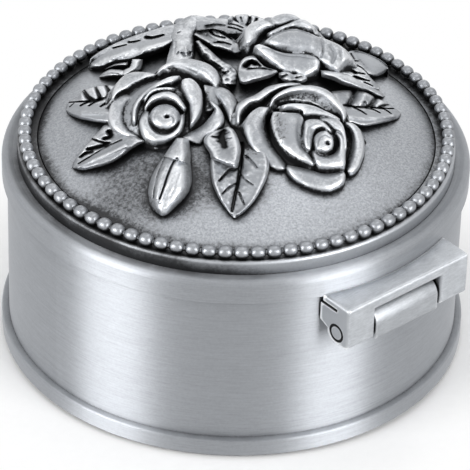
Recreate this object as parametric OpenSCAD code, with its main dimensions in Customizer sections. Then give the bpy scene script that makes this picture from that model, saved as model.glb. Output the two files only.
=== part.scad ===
// Round pewter rosary box: a drum with a hinged, domed lid that carries a spray of roses.
// Z is up and the box rests at z = 0. The hinge is at the back (+Y), its pin lies along X.

/* [Drum] */
// Outer radius of the side wall
wall_r = 32.2; // [27:0.1:39]
// Thickness of the side wall
wall_t = 1.3; // [1:0.1:2]
// Height of the side wall above the foot's ledge
wall_h = 22.8; // [18:0.1:30]
// How far the foot stands out from the wall
foot_out = 1.05; // [0.6:0.05:2]
// Height of the foot's outer face
foot_h = 2.65; // [2:0.05:4]
// Thickness of the floor above the foot's ledge, which also locates the wall
spigot_h = 0.95; // [0.5:0.05:1.5]
// Thickness of the base felt
felt_t = 1.2; // [0.8:0.1:2]
// How far the felt stands below the foot
felt_proud = 0.4; // [0.2:0.1:0.7]

/* [Lining] */
// Thickness of the metal locating collar
collar_t = 0.7; // [0.5:0.1:1]
// How far the collar reaches into the wall
collar_grip = 4; // [3:0.1:6]
// How far the collar stands above the wall's edge
collar_rise = 1.35; // [0.8:0.05:1.6]
// Thickness of the velvet and card on the wall
lining_t = 0.8; // [0.5:0.1:1.2]
// Thickness of the padded floor
pad_t = 2.2; // [1.5:0.1:4]
// Thickness of the velvet in the lid
lid_lining_t = 0.6; // [0.4:0.1:1]

/* [Lid hoop] */
// How far the hoop stands out from the wall
hoop_out = 0.75; // [0.5:0.05:1.5]
// Height of the hoop from its lower edge to its shoulder
hoop_h = 3.45; // [3.2:0.05:5]
// Radius of the hoop's rounded shoulder
hoop_round = 0.9; // [0.4:0.05:1.2]
// Depth of the seat that holds the dome plate
seat_h = 0.7; // [0.5:0.05:1]
// Running gap between lid and drum
lid_gap = 0.05; // [0.03:0.01:0.2]
// Radial room between the hoop and the collar
collar_gap = 0.35; // [0.3:0.05:0.6]

/* [Dome plate] */
// How far the dome plate's edge is inside the hoop's outer face
plate_inset = 2.21; // [2:0.05:3]
// Height of the plate's edge above the hoop's shoulder
rim_h = 2; // [1.4:0.05:3]
// Radius that rounds the plate's upper edge
rim_round = 0.5; // [0.3:0.05:0.8]
// Width of the ledge that carries the beads
ledge_w = 2.85; // [2.4:0.05:3.4]
// Rise of the dome above the ledge
dome_rise = 6; // [4:0.1:7.5]
// Metal thickness of the dome
dome_t = 1.5; // [1:0.1:2.2]

/* [Beads] */
// Number of beads round the lid
bead_count = 85; // [60:1:88]
// Diameter of one bead
bead_d = 1.82; // [1.4:0.01:1.85]
// Diameter of the wire that joins the beads
bead_wire_d = 0.7; // [0.5:0.05:0.9]

/* [Hinge] */
// Length of the hinge bracket along the pin
bracket_w = 22.06; // [18:0.1:26]
// How far the bracket's front face is from the drum's wall
bracket_out = 4.03; // [3.9:0.01:5]
// Thickness of the bracket's top plate
bracket_t = 0.9; // [0.7:0.05:1.2]
// How far the top plate stands above the hoop's lower edge
bracket_rise = 0.45; // [0.3:0.05:0.8]
// Thickness of the bracket's front apron
apron_t = 0.8; // [0.6:0.05:0.85]
// Width of the opening for the knuckle
window_w = 12.1; // [10:0.1:14]
// Side gap between the knuckle and each ear
knuckle_gap = 0.35; // [0.2:0.05:0.6]
// Diameter of the hinge pin
pin_d = 2.3; // [1.8:0.1:2.4]
// Radial running clearance of the pin in the ears
pin_play = 0.06; // [0.03:0.01:0.1]
// How far the pin's axis is outside the wall
pin_out = 1.73; // [1.7:0.01:2.4]
// How far the pin's axis is below the hoop's lower edge
pin_drop = 4.3; // [4.2:0.05:5]

/* [Spray] */
// Turn of the rose spray from the hinge
spray_turn = 138.65; // [0:0.05:360]
// Width of the left rose
rose_left_w = 17.4; // [12:0.1:18]
// Width of the right rose
rose_right_w = 18.6; // [12:0.1:19]
// Width of the rear rose
rose_rear_w = 12.6; // [9:0.1:13]
// Height of the left rose above the dome
rose_left_h = 5.8; // [4:0.1:7]
// Height of the right rose above the dome
rose_right_h = 6; // [4:0.1:7]
// Height of the rear rose above the dome
rose_rear_h = 6.4; // [4:0.1:7]
// Greatest radius of the bud
bud_r = 2.7; // [2:0.1:3]
// Length of the bud
bud_len = 10.6; // [8:0.1:11]
// Thickness of a leaf at its crown
leaf_t = 1.2; // [0.8:0.05:1.25]
// Thickness of the solder under the castings
solder_t = 0.05; // [0.03:0.01:0.1]

/* [Hidden] */

$fn = 96;
eps = 0.01;
fit_gap = 0.04;
press_gap = 0.01;
soft_gap = 0.3;

// Drum, from the table up
foot_z = felt_proud;
ledge_z = foot_z + foot_h;
wall_top = ledge_z + wall_h;
wall_in = wall_r - wall_t;
foot_r = wall_r + foot_out;
felt_r = wall_in - 1.2;
floor_z = ledge_z + spigot_h;
collar_out = wall_in - fit_gap;
collar_in = collar_out - collar_t;
lining_in = wall_in - lining_t;

// Lid, from the parting line up
parting = wall_top + lid_gap;
hoop_r = wall_r + hoop_out;
hoop_top = parting + hoop_h;
hoop_in = collar_out + collar_gap;
seat_z = hoop_top - seat_h;
flange_z = seat_z - seat_h;
plate_r = hoop_r - plate_inset;
plate_bore = plate_r + fit_gap;
flange_in = plate_r - 1.2;
bead_z = hoop_top + rim_h;
ledge_out = plate_r - rim_round;
dome_r = ledge_out - ledge_w + 0.4;
bead_ring_r = ledge_out - bead_d / 2 + 0.35;
groove_r = dome_r + 0.2;

// Dome surface
dome_ball = (dome_r * dome_r + dome_rise * dome_rise) / (2 * dome_rise);
dome_cz = bead_z + dome_rise - dome_ball;

// Hinge
pin_y = wall_r + pin_out;
pin_z = parting - pin_drop;
bracket_y = wall_r + bracket_out;
bracket_top = parting + bracket_rise;
ear_r = pin_d / 2 + 0.6;
ear_low = pin_z - ear_r + 0.12;
ear_top = bracket_top - bracket_t - 0.5;
window_top = pin_z + 3;
knuckle_w = window_w - 2 * knuckle_gap;
knuckle_r = pin_d / 2 + 1;
knuckle_low = pin_z - knuckle_r - 0.25;
wall_room = 0.35;

// Spray
rose_sides = 40;
petal_cut = 0.13;
petal_wave = 0.035;
// Outline of a rose from its bud outwards: share of the radius, share of the height
petal_steps = [[0.1, 0.97], [0.16, 0.84], [0.2, 0.66], [0.26, 0.92], [0.3, 0.94], [0.36, 0.56],
               [0.45, 0.8], [0.5, 0.8], [0.57, 0.36], [0.7, 0.56], [0.8, 0.54], [0.92, 0.3],
               [1, 0.12]];
leaf_rows = 10;
leaf_side = [-1, -0.5, 0, 0.5, 1];
leaf_relief = [0.55, 1, 0.75, 1, 0.55];
second_layer = solder_t + leaf_t + 0.15;
rose_clear = 1.45;
bud_dip = 16;
stem_lift = 0.25;

pewter = "#9a9da1";
dark_pewter = "#7d8084";
velvet = "#1f2b4d";

function dome_z(x, y) = dome_cz + sqrt(dome_ball * dome_ball - x * x - y * y);
function arc(cx, cz, r, a0, a1, n) =
    [for (i = [0:n]) let (a = a0 + (a1 - a0) * i / n) [cx + r * cos(a), cz + r * sin(a)]];

// Triangles of a closed sheet: two grids of points, one over the other, and their border.
function grid_faces(rows, cols) =
    let (w = cols + 1, n = (rows + 1) * w)
    concat(
        [for (i = [0:rows - 1], j = [0:cols - 1]) [i * w + j, i * w + j + 1, (i + 1) * w + j]],
        [for (i = [0:rows - 1], j = [0:cols - 1])
            [i * w + j + 1, (i + 1) * w + j + 1, (i + 1) * w + j]],
        [for (i = [0:rows - 1], j = [0:cols - 1])
            [n + i * w + j + 1, n + i * w + j, n + (i + 1) * w + j]],
        [for (i = [0:rows - 1], j = [0:cols - 1])
            [n + (i + 1) * w + j + 1, n + i * w + j + 1, n + (i + 1) * w + j]],
        [for (i = [0:rows - 1], k = [0, 1]) k == 0
            ? [i * w, (i + 1) * w, n + i * w]
            : [(i + 1) * w, n + (i + 1) * w, n + i * w]],
        [for (i = [0:rows - 1], k = [0, 1]) let (a = i * w + cols, b = a + w) k == 0
            ? [a, n + a, b]
            : [b, n + a, n + b]],
        [for (j = [0:cols - 1], k = [0, 1]) k == 0
            ? [j, n + j, j + 1]
            : [j + 1, n + j, n + j + 1]],
        [for (j = [0:cols - 1], k = [0, 1]) let (a = rows * w + j) k == 0
            ? [a, a + 1, n + a]
            : [a + 1, n + a + 1, n + a]]);

module ring(r_out, r_in, z0, z1) {
    rotate_extrude() translate([r_in, z0]) square([r_out - r_in, z1 - z0]);
}

// ---- Drum ----

module base_plate() {
    recess_r = felt_r + fit_gap;
    color(pewter) rotate_extrude() polygon(concat(
        [[0, foot_z + felt_t - felt_proud], [recess_r, foot_z + felt_t - felt_proud],
         [recess_r, foot_z], [foot_r - 0.25, foot_z], [foot_r, foot_z + 0.25]],
        arc(foot_r - 0.3, ledge_z - 0.3, 0.3, 0, 90, 4),
        [[wall_in - fit_gap, ledge_z], [wall_in - fit_gap, floor_z], [0, floor_z]]));
}

module base_felt() {
    color("#1f2226") cylinder(r = felt_r, h = felt_t - fit_gap);
}

module side_wall() {
    color(pewter) ring(wall_r, wall_in, ledge_z, wall_top);
}

module inner_collar() {
    color("#8b8e92") ring(collar_out, collar_in, wall_top - collar_grip, wall_top + collar_rise);
}

module wall_lining() {
    color(velvet)
        ring(wall_in - fit_gap, lining_in, floor_z + fit_gap, wall_top - collar_grip - fit_gap);
}

module floor_pad() {
    pad_r = lining_in - soft_gap;
    crown = 0.5;
    color(velvet) rotate_extrude() polygon(concat(
        [[0, floor_z + fit_gap], [pad_r - crown, floor_z + fit_gap]],
        arc(pad_r - crown, floor_z + fit_gap + crown, crown, -90, 0, 4),
        arc(pad_r - 2 * crown, floor_z + pad_t - 2 * crown, 2 * crown, 0, 90, 6),
        [[0, floor_z + pad_t + crown / 2]]));
}

// Section of the knuckle across the pin: round above, square below, soldered to the wall.
module knuckle_section() {
    difference() {
        union() {
            circle(r = knuckle_r);
            translate([-pin_out - wall_t, knuckle_low - pin_z])
                square([pin_out + wall_t + knuckle_r - 0.5, pin_z - knuckle_low]);
            translate([0, knuckle_low - pin_z + 0.5])
                square([knuckle_r, pin_z - knuckle_low - 0.5]);
            translate([knuckle_r - 0.5, knuckle_low - pin_z + 0.5]) circle(r = 0.5);
            translate([-pin_out - wall_t, 0]) square([pin_out + wall_t, knuckle_r - 0.2]);
        }
        circle(r = pin_d / 2 + press_gap);
    }
}

module along_pin(w) {
    translate([-w / 2, pin_y, pin_z]) rotate([90, 0, 90]) linear_extrude(w) children();
}

module hinge_knuckle() {
    color(pewter) difference() {
        along_pin(knuckle_w) knuckle_section();
        cylinder(r = wall_r + press_gap, h = wall_top);
    }
}

module hinge_pin() {
    color("#b4b6b8") translate([-bracket_w / 2, pin_y, pin_z]) rotate([0, 90, 0])
        cylinder(d = pin_d, h = bracket_w);
}

// ---- Lid ----

module lid_hoop() {
    dip = 0.12;
    color(pewter) rotate_extrude() polygon(concat(
        [[hoop_in, parting], [hoop_r - 0.2, parting], [hoop_r, parting + 0.2]],
        arc(hoop_r - hoop_round, hoop_top - hoop_round, hoop_round, 0, 90, 8),
        [[(plate_bore + hoop_r - hoop_round) / 2, hoop_top - dip], [plate_bore, hoop_top - dip / 2],
         [plate_bore, seat_z], [flange_in, seat_z], [flange_in, flange_z], [hoop_in, flange_z]]));
}

module lid_dome() {
    // A dome ball inside the outer one leaves the shell at one thickness.
    inner_ball = dome_ball - dome_t;
    skirt_r = flange_in + fit_gap;
    under_z = bead_z - dome_t;
    inner_r = sqrt(inner_ball * inner_ball - (under_z - dome_cz) * (under_z - dome_cz));
    a_in = acos(inner_r / inner_ball);
    a_out = acos(dome_r / dome_ball);
    color(pewter) rotate_extrude() polygon(concat(
        [[plate_r, seat_z + eps], [plate_r, bead_z - rim_round]],
        arc(ledge_out, bead_z - rim_round, rim_round, 15, 90, 5),
        [[groove_r, bead_z], [(groove_r + dome_r) / 2, bead_z - 0.2]],
        [for (i = [0:24]) let (a = a_out + (90 - a_out) * i / 24)
            [i == 24 ? 0 : dome_ball * cos(a), dome_cz + dome_ball * sin(a)]],
        [for (i = [0:24]) let (a = 90 + (a_in - 90) * i / 24)
            [i == 0 ? 0 : inner_ball * cos(a), dome_cz + inner_ball * sin(a)]],
        [[skirt_r, under_z], [skirt_r, seat_z + eps]]));
}

module bead_ring() {
    bead_lift = solder_t / 2;
    color("#b9bbbd") {
        for (i = [0:bead_count - 1]) rotate([0, 0, 360 * i / bead_count])
            translate([bead_ring_r, 0, bead_z + bead_lift + bead_d / 2]) sphere(d = bead_d);
        translate([0, 0, bead_z + bead_lift + bead_d / 3]) rotate_extrude()
            translate([bead_ring_r, 0]) circle(d = bead_wire_d);
    }
}

// Section of an ear: round below the pin, so that it turns clear of the wall.
module ear_section() {
    front = bracket_out - pin_out;
    back = -pin_out - 4;
    difference() {
        union() {
            circle(r = ear_r);
            translate([0, ear_low - pin_z]) square([front, bracket_top - pin_z - (ear_low - pin_z)]);
            polygon([[-ear_r, 0], [0, 0], [0, ear_top - pin_z], [back, ear_top - pin_z], [back, 1.6]]);
        }
        circle(r = pin_d / 2 + pin_play);
    }
}

module hinge_bracket() {
    ear_w = (bracket_w - window_w) / 2;
    color(pewter) union() {
        difference() {
            for (side = [-1, 1]) translate([side * (window_w + ear_w) / 2, 0, 0])
                along_pin(ear_w) ear_section();
            cylinder(r = wall_r + wall_room, h = bracket_top);
            translate([-bracket_w, 0, bracket_top - bracket_t]) cube([2 * bracket_w, 2 * wall_r, 9]);
        }
        difference() {
            translate([-bracket_w / 2, 0, bracket_top - bracket_t])
                cube([bracket_w, bracket_y, bracket_t]);
            cylinder(r = hoop_r + press_gap, h = 2 * bracket_top);
        }
        translate([-window_w / 2, bracket_y - apron_t, window_top])
            cube([window_w, apron_t, bracket_top - bracket_t - window_top]);
    }
}

module lid_lining() {
    cup_ball = dome_ball - dome_t - fit_gap;
    rim_z = bead_z - dome_t + 0.3;
    cup_r = sqrt(cup_ball * cup_ball - (rim_z - dome_cz) * (rim_z - dome_cz));
    a_rim = acos(cup_r / cup_ball);
    in_ball = cup_ball - lid_lining_t;
    color(velvet) rotate_extrude() polygon(concat(
        [for (i = [0:16]) let (a = a_rim + (90 - a_rim) * i / 16)
            [i == 16 ? 0 : cup_ball * cos(a), dome_cz + cup_ball * sin(a)]],
        [for (i = [0:16]) let (a = 90 + (a_rim - 90) * i / 16)
            [i == 0 ? 0 : in_ball * cos(a), dome_cz + in_ball * sin(a)]]));
}

// ---- Rose spray, laid out with its front at -Y and turned as one ----

// Puts a shape on the dome at x, y, upright on the dome's surface.
module on_dome(x, y) {
    heading = atan2(y, x);
    lean = asin(norm([x, y]) / dome_ball);
    rotate([0, 0, spray_turn]) translate([x, y, dome_z(x, y)])
        rotate([0, 0, heading]) rotate([0, lean, 0]) rotate([0, 0, -heading]) children();
}

// One leaf from its stalk end to its tip. Its underside follows the dome.
module leaf(from, to, width, lift = solder_t) {
    span = to - from;
    len = norm(span);
    along = span / len;
    across = [-along[1], along[0]];
    half = [for (i = [0:leaf_rows]) max(0.15, width / 2 * sin(180 * pow(i / leaf_rows, 0.75)))];
    spot = [for (i = [0:leaf_rows], t = leaf_side)
        from + along * len * i / leaf_rows + across * half[i] * t];
    crown = [for (i = [0:leaf_rows], h = leaf_relief)
        leaf_t * h * (0.5 + 0.5 * sin(180 * i / leaf_rows))];
    low = [for (p = spot) [p[0], p[1], dome_z(p[0], p[1]) + lift]];
    high = [for (i = [0:len(spot) - 1]) low[i] + [0, 0, crown[i]]];
    color(dark_pewter) rotate([0, 0, spray_turn])
        polyhedron(concat(high, low), grid_faces(leaf_rows, 4));
}

// Triangles of a closed skin: a top point, rings of n points going down, and a bottom point.
function skin_faces(rings, n) =
    let (last = 1 + (rings - 1) * n)
    concat(
        [for (i = [0:n - 1]) [0, 1 + (i + 1) % n, 1 + i]],
        [for (j = [0:rings - 2], i = [0:n - 1], k = [0, 1])
            let (a = 1 + j * n + i, b = 1 + j * n + (i + 1) % n)
            k == 0 ? [a, b, b + n] : [a, b + n, a + n]],
        [for (i = [0:n - 1]) [last + i, last + (i + 1) % n, last + n]]);

// Petals in the row that lies at this share of the rose's radius
function row_petals(share) = share < 0.35 ? 3 : share < 0.55 ? 4 : 5;

// A rose cast in relief: scalloped rows of petals round a bud, on a stub that stands on the dome.
module rose(width, height, facing) {
    r = width / 2;
    stub = 0.42 * r;
    function scallop(share, a) = 1 - petal_cut * share * abs(sin(row_petals(share) * a / 2));
    function ring_at(share, z, wave) = [for (i = [0:rose_sides - 1])
        let (a = 360 * i / rose_sides, turned = a + facing + 60 * share)
        [r * share * scallop(share, turned) * cos(a), r * share * scallop(share, turned) * sin(a),
         z * (1 + wave * cos(row_petals(share) * turned))]];
    top = [for (step = petal_steps)
        each ring_at(step[0], rose_clear + (height - rose_clear) * step[1], petal_wave)];
    under = concat(
        ring_at(0.97, rose_clear, 0),
        [for (z = [rose_clear + 0.4, solder_t], i = [0:rose_sides - 1])
            let (a = 360 * i / rose_sides) [stub * cos(a), stub * sin(a), z]]);
    polyhedron(concat([[0, 0, height]], top, under, [[0, 0, solder_t]]),
               skin_faces(len(petal_steps) + 3, rose_sides));
}

module rose_left() {
    color(pewter) on_dome(-9.5, -2.5) rose(rose_left_w, rose_left_h, 80);
}

module rose_right() {
    color(pewter) on_dome(9.2, -8.5) rose(rose_right_w, rose_right_h, 20);
}

module rose_rear() {
    color(pewter) on_dome(8.5, 13.5) rose(rose_rear_w, rose_rear_h, 120);
}

function bud_radius(s) = bud_r * pow(sin(180 * pow(s, 0.85)), 0.75);

// Puts the bud's own axis on the dome, with its stalk end towards the left rose.
module on_bud_axis() {
    on_dome(-9.1, -17.6) rotate([0, 0, -101]) translate([0, 0, bud_r + 0.3])
        rotate([0, bud_dip, 0]) translate([-bud_len / 2, 0, 0]) rotate([0, 90, 0]) children();
}

module rose_bud() {
    steps = 20;
    color(pewter) on_bud_axis() rotate_extrude() polygon(
        [for (i = [0:steps]) [bud_radius(i / steps), bud_len * i / steps]]);
}

module bud_calyx() {
    wall = 0.45;
    cover = 0.28;
    steps = 6;
    color(dark_pewter) on_bud_axis() rotate_extrude() polygon(concat(
        [[0, -1.6], [1, -1.6], [1.2, -0.5]],
        [for (i = [1:steps]) let (s = cover * i / steps)
            [bud_radius(s) + wall + fit_gap, bud_len * s]],
        [for (i = [steps:-1:1]) let (s = cover * i / steps)
            [bud_radius(s) + fit_gap, bud_len * s]],
        [[0, -fit_gap]]));
}

// A stem of round section that lies on the dome along a few points.
module stem(path, r) {
    color(dark_pewter) rotate([0, 0, spray_turn]) for (i = [0:len(path) - 2]) hull() {
        for (p = [path[i], path[i + 1]])
            translate([p[0], p[1], dome_z(p[0], p[1]) + r + stem_lift]) sphere(r = r, $fn = 12);
    }
}

module main_stem() {
    stem([[-7.6, 23.2], [-8, 16.5], [-7.6, 11.5]], 1.7);
}

module side_stem() {
    stem([[-3.4, 10.8], [-1.6, 7.4], [0.3, 3.6]], 0.9);
}

module leaf_left() { leaf([-13.4, 0.6], [-24.2, 2.4], 10.6); }
module leaf_left_low() { leaf([-13, -7.6], [-22.2, -12], 5.6); }
module leaf_front() { leaf([0.2, -9.4], [0.4, -23.8], 8.6); }
module leaf_front_curled() { leaf([-2.2, -10.4], [-0.6, -15.8], 3.2, second_layer); }
module leaf_right() { leaf([13.4, -0.2], [22.8, 2.4], 7.6); }
module leaf_right_folded() { leaf([11.4, 8], [20.6, 6.2], 3.2); }
module leaf_right_veined() { leaf([13.6, 12], [20.8, 9.4], 3.2); }
module leaf_right_far() { leaf([13.8, 15.4], [20.6, 17], 4.6); }
module leaf_back_long() { leaf([-10.4, 18.4], [-22, 15.4], 5.6); }
module leaf_back_small() { leaf([-14, 13.4], [-19.6, 8.8], 3.6); }
module leaf_back_low() { leaf([-11, 23], [-17.6, 20.6], 2.8); }
module leaf_back_mid() { leaf([-1.4, 13.6], [-3.8, 22], 4); }
module leaf_back_tip() { leaf([-3.8, 22.8], [-4.6, 26.6], 2.6); }
module leaf_back_veined() { leaf([0.4, 18.6], [0.6, 26.4], 3.6); }
module leaf_centre_curled() { leaf([3.8, 4.4], [1.8, 12], 2.8); }

base_plate();
base_felt();
side_wall();
inner_collar();
wall_lining();
floor_pad();
hinge_knuckle();
hinge_pin();
lid_hoop();
lid_dome();
bead_ring();
hinge_bracket();
lid_lining();
rose_left();
rose_right();
rose_rear();
rose_bud();
bud_calyx();
main_stem();
side_stem();
leaf_left();
leaf_left_low();
leaf_front();
leaf_front_curled();
leaf_right();
leaf_right_folded();
leaf_right_veined();
leaf_right_far();
leaf_back_long();
leaf_back_small();
leaf_back_low();
leaf_back_mid();
leaf_back_tip();
leaf_back_veined();
leaf_centre_curled();
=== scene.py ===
import math

import bmesh
import bpy
import numpy as np
from mathutils import Matrix


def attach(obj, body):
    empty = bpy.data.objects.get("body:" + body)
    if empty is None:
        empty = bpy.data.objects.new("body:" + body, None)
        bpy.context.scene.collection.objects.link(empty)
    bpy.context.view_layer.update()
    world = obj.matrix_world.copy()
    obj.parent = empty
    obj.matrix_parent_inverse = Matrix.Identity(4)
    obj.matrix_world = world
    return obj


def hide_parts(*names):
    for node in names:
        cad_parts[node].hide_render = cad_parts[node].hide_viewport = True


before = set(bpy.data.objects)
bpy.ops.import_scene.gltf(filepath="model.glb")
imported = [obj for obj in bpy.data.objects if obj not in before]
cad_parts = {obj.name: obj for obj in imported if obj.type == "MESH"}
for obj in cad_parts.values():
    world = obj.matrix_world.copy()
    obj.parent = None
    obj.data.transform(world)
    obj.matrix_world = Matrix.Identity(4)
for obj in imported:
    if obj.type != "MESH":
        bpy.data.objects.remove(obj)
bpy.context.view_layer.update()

# ----------------------------------------------------------------- camera
# worked out in a frame whose y axis runs straight away from the camera, in mm
CAM_AZIMUTH = math.radians(138.65)
CAM_ELEVATION = 0.57547675   # radians
CAM_DISTANCE = 493.7
HALF_PX = 235              # half the square frame
SENSOR_MM = 36.0
FOCUS_PX = 3519.6          # focal length in pixels of that frame
AIM_PX = (236.74773, 131.13681)   # where the middle of the bead ring lands
CAM_ROLL = 0.02859430636   # radians
RING_Z = 32.2              # height of the bead ring, which the camera looks at
TURN = np.array([[math.cos(CAM_AZIMUTH), -math.sin(CAM_AZIMUTH), 0.0],
                 [math.sin(CAM_AZIMUTH), math.cos(CAM_AZIMUTH), 0.0],
                 [0.0, 0.0, 1.0]])


def to_row(points):
    """Points in mm in the camera-facing frame, to metres in the object's frame."""
    return (np.asarray(points, float) @ TURN.T) * 0.001


def link(name, mesh):
    """An object of this mesh, in the scene."""
    o = bpy.data.objects.new(name, mesh)
    bpy.context.scene.collection.objects.link(o)
    return o


def placed(axes, where):
    """World matrix of an object whose axes are the columns of a 3 x 3 array."""
    m = Matrix.Identity(4)
    for i in range(3):
        m[i] = (*axes[i], where[i])
    return m


def make_camera():
    """The camera of the photographed view, turned as its aim, pitch and roll say."""
    ce, se = math.cos(CAM_ELEVATION), math.sin(CAM_ELEVATION)
    place = np.array([0.0, -CAM_DISTANCE * ce, CAM_DISTANCE * se])
    ahead = -place / np.linalg.norm(place)
    right = np.array([1.0, 0.0, 0.0])
    up = np.cross(right, ahead)
    level = np.array([right, -up, ahead])
    yaw = math.atan((AIM_PX[0] - HALF_PX) / FOCUS_PX)
    pitch = -math.atan((AIM_PX[1] - HALF_PX) / FOCUS_PX)
    cy, sy, cp, sp = math.cos(yaw), math.sin(yaw), math.cos(pitch), math.sin(pitch)
    cr, sr = math.cos(CAM_ROLL), math.sin(CAM_ROLL)
    turn_y = np.array([[cy, 0, sy], [0, 1, 0], [-sy, 0, cy]])
    turn_x = np.array([[1, 0, 0], [0, cp, -sp], [0, sp, cp]])
    turn_z = np.array([[cr, -sr, 0], [sr, cr, 0], [0, 0, 1]])
    rows = turn_x @ turn_y @ turn_z @ level
    axes = np.array([rows[0], -rows[1], -rows[2]]).T
    axes = TURN @ axes
    where = TURN @ (place + np.array([0, 0, RING_Z])) * 0.001
    cam = bpy.data.objects.new("camera", bpy.data.cameras.new("camera"))
    cam.data.sensor_fit = "HORIZONTAL"
    cam.data.sensor_width = SENSOR_MM
    cam.data.lens = FOCUS_PX / (2 * HALF_PX) * SENSOR_MM
    cam.data.clip_start = 0.01
    cam.data.clip_end = 20.0
    cam.matrix_world = placed(axes, where)
    bpy.context.scene.collection.objects.link(cam)
    bpy.context.scene.camera = cam


# ----------------------------------------------------------------- node helper
class Paint:
    """A material, with short ways to add nodes to it."""

    def __init__(self, name):
        self.material = bpy.data.materials.new(name)
        self.material.use_nodes = True
        self.tree = self.material.node_tree
        self.tree.nodes.clear()
        self.out = self.node("ShaderNodeOutputMaterial")

    def node(self, kind, **settings):
        n = self.tree.nodes.new(kind)
        for k, v in settings.items():
            setattr(n, k, v)
        return n

    def put(self, socket, value):
        if isinstance(value, bpy.types.NodeSocket):
            self.tree.links.new(value, socket)
        else:
            socket.default_value = value

    def math(self, op, a, b=None):
        n = self.node("ShaderNodeMath", operation=op)
        self.put(n.inputs[0], a)
        if b is not None:
            self.put(n.inputs[1], b)
        return n.outputs[0]

    def add(self, a, b):
        return self.math("ADD", a, b)

    def less(self, a, b):
        return self.math("SUBTRACT", a, b)

    def times(self, a, b):
        return self.math("MULTIPLY", a, b)

    def most(self, a, b):
        return self.math("MAXIMUM", a, b)

    def length(self, a, b):
        return self.math("SQRT", self.add(self.times(a, a), self.times(b, b)))

    def swing(self, noise, amount):
        """The ups and downs of a noise about its middle."""
        return self.times(self.less(noise, 0.5), amount)

    def span(self, value, a, b, to=(0.0, 1.0), smooth=True):
        n = self.node("ShaderNodeMapRange", interpolation_type="SMOOTHSTEP" if smooth else "LINEAR")
        self.put(n.inputs["Value"], value)
        n.inputs["From Min"].default_value = a
        n.inputs["From Max"].default_value = b
        n.inputs["To Min"].default_value = to[0]
        n.inputs["To Max"].default_value = to[1]
        return n.outputs[0]

    def mix(self, share, a, b):
        n = self.node("ShaderNodeMix", data_type="RGBA")
        self.put(n.inputs[0], share)
        self.put(n.inputs[6], a)
        self.put(n.inputs[7], b)
        return n.outputs[2]

    def place(self):
        return self.node("ShaderNodeTexCoord").outputs["Object"]

    def scaled(self, vector, x, y, z):
        n = self.node("ShaderNodeVectorMath", operation="MULTIPLY")
        self.put(n.inputs[0], vector)
        n.inputs[1].default_value = (x, y, z)
        return n.outputs[0]

    def parts(self, vector):
        n = self.node("ShaderNodeSeparateXYZ")
        self.put(n.inputs[0], vector)
        return n.outputs

    def noise(self, vector, scale, detail=2.0, rough=0.5):
        n = self.node("ShaderNodeTexNoise")
        self.put(n.inputs["Vector"], vector)
        n.inputs["Scale"].default_value = scale
        n.inputs["Detail"].default_value = detail
        n.inputs["Roughness"].default_value = rough
        return n.outputs["Fac"]

    def radius(self, xyz):
        return self.length(xyz[0], xyz[1])

    def bearing(self, place, azimuth):
        """1 on the side that lies at this azimuth, -1 on the other side."""
        a = math.radians(azimuth)
        n = self.node("ShaderNodeVectorMath", operation="DOT_PRODUCT")
        self.put(n.inputs[0], place)
        n.inputs[1].default_value = tuple(TURN @ (math.sin(a), -math.cos(a), 0.0))
        return self.math("DIVIDE", n.outputs["Value"], self.radius(self.parts(place)))

    def near(self, place, x, y, z, size, amount):
        """amount at a point of the spray, given in mm, fading to 0 at this distance."""
        n = self.node("ShaderNodeVectorMath", operation="DISTANCE")
        self.put(n.inputs[0], place)
        n.inputs[1].default_value = tuple(to_row([x, y, z]))
        return self.span(n.outputs["Value"], size * 0.001, size * 0.0003, (0.0, amount))

    def hidden(self, distance, inside=False):
        """0 in the open, towards 1 in corners and folds; inside: towards 1 at outer edges."""
        n = self.node("ShaderNodeAmbientOcclusion", samples=12, inside=inside)
        n.inputs["Distance"].default_value = distance
        return self.less(1.0, n.outputs["AO"])

    def attribute(self, name):
        return self.node("ShaderNodeAttribute", attribute_name=name).outputs["Fac"]

    def bump(self, height, distance, strength=1.0, normal=None):
        n = self.node("ShaderNodeBump")
        n.inputs["Strength"].default_value = strength
        n.inputs["Distance"].default_value = distance
        self.put(n.inputs["Height"], height)
        if normal is not None:
            self.put(n.inputs["Normal"], normal)
        return n.outputs[0]

    def surface(self, **values):
        s = self.node("ShaderNodeBsdfPrincipled")
        for k, v in values.items():
            self.put(s.inputs[k.replace("_", " ")], v)
        self.put(self.out.inputs[0], s.outputs[0])
        return s


# heights and radii of the frame's pieces that the looks follow, in metres
PARTING_Z = 0.02592        # the line between the box's wall and the lid's hoop
HOOP_TOP_Z = 0.0291        # the flat top of the hoop, outside the dome plate
BEAD_LOW_Z = 0.0316        # underside of the beads
PIN_Y, PIN_Z, PIN_R = 0.03393, 0.02160, 0.00117   # the pin's axis and radius

# the dark of patina and of painted shade, and how dark it is in the deepest folds
PATINA_AND_SHADE = (0.030, 0.030, 0.031, 1.0)
BLACKENED_AND_SHADE = (0.022, 0.022, 0.023, 1.0)


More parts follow.
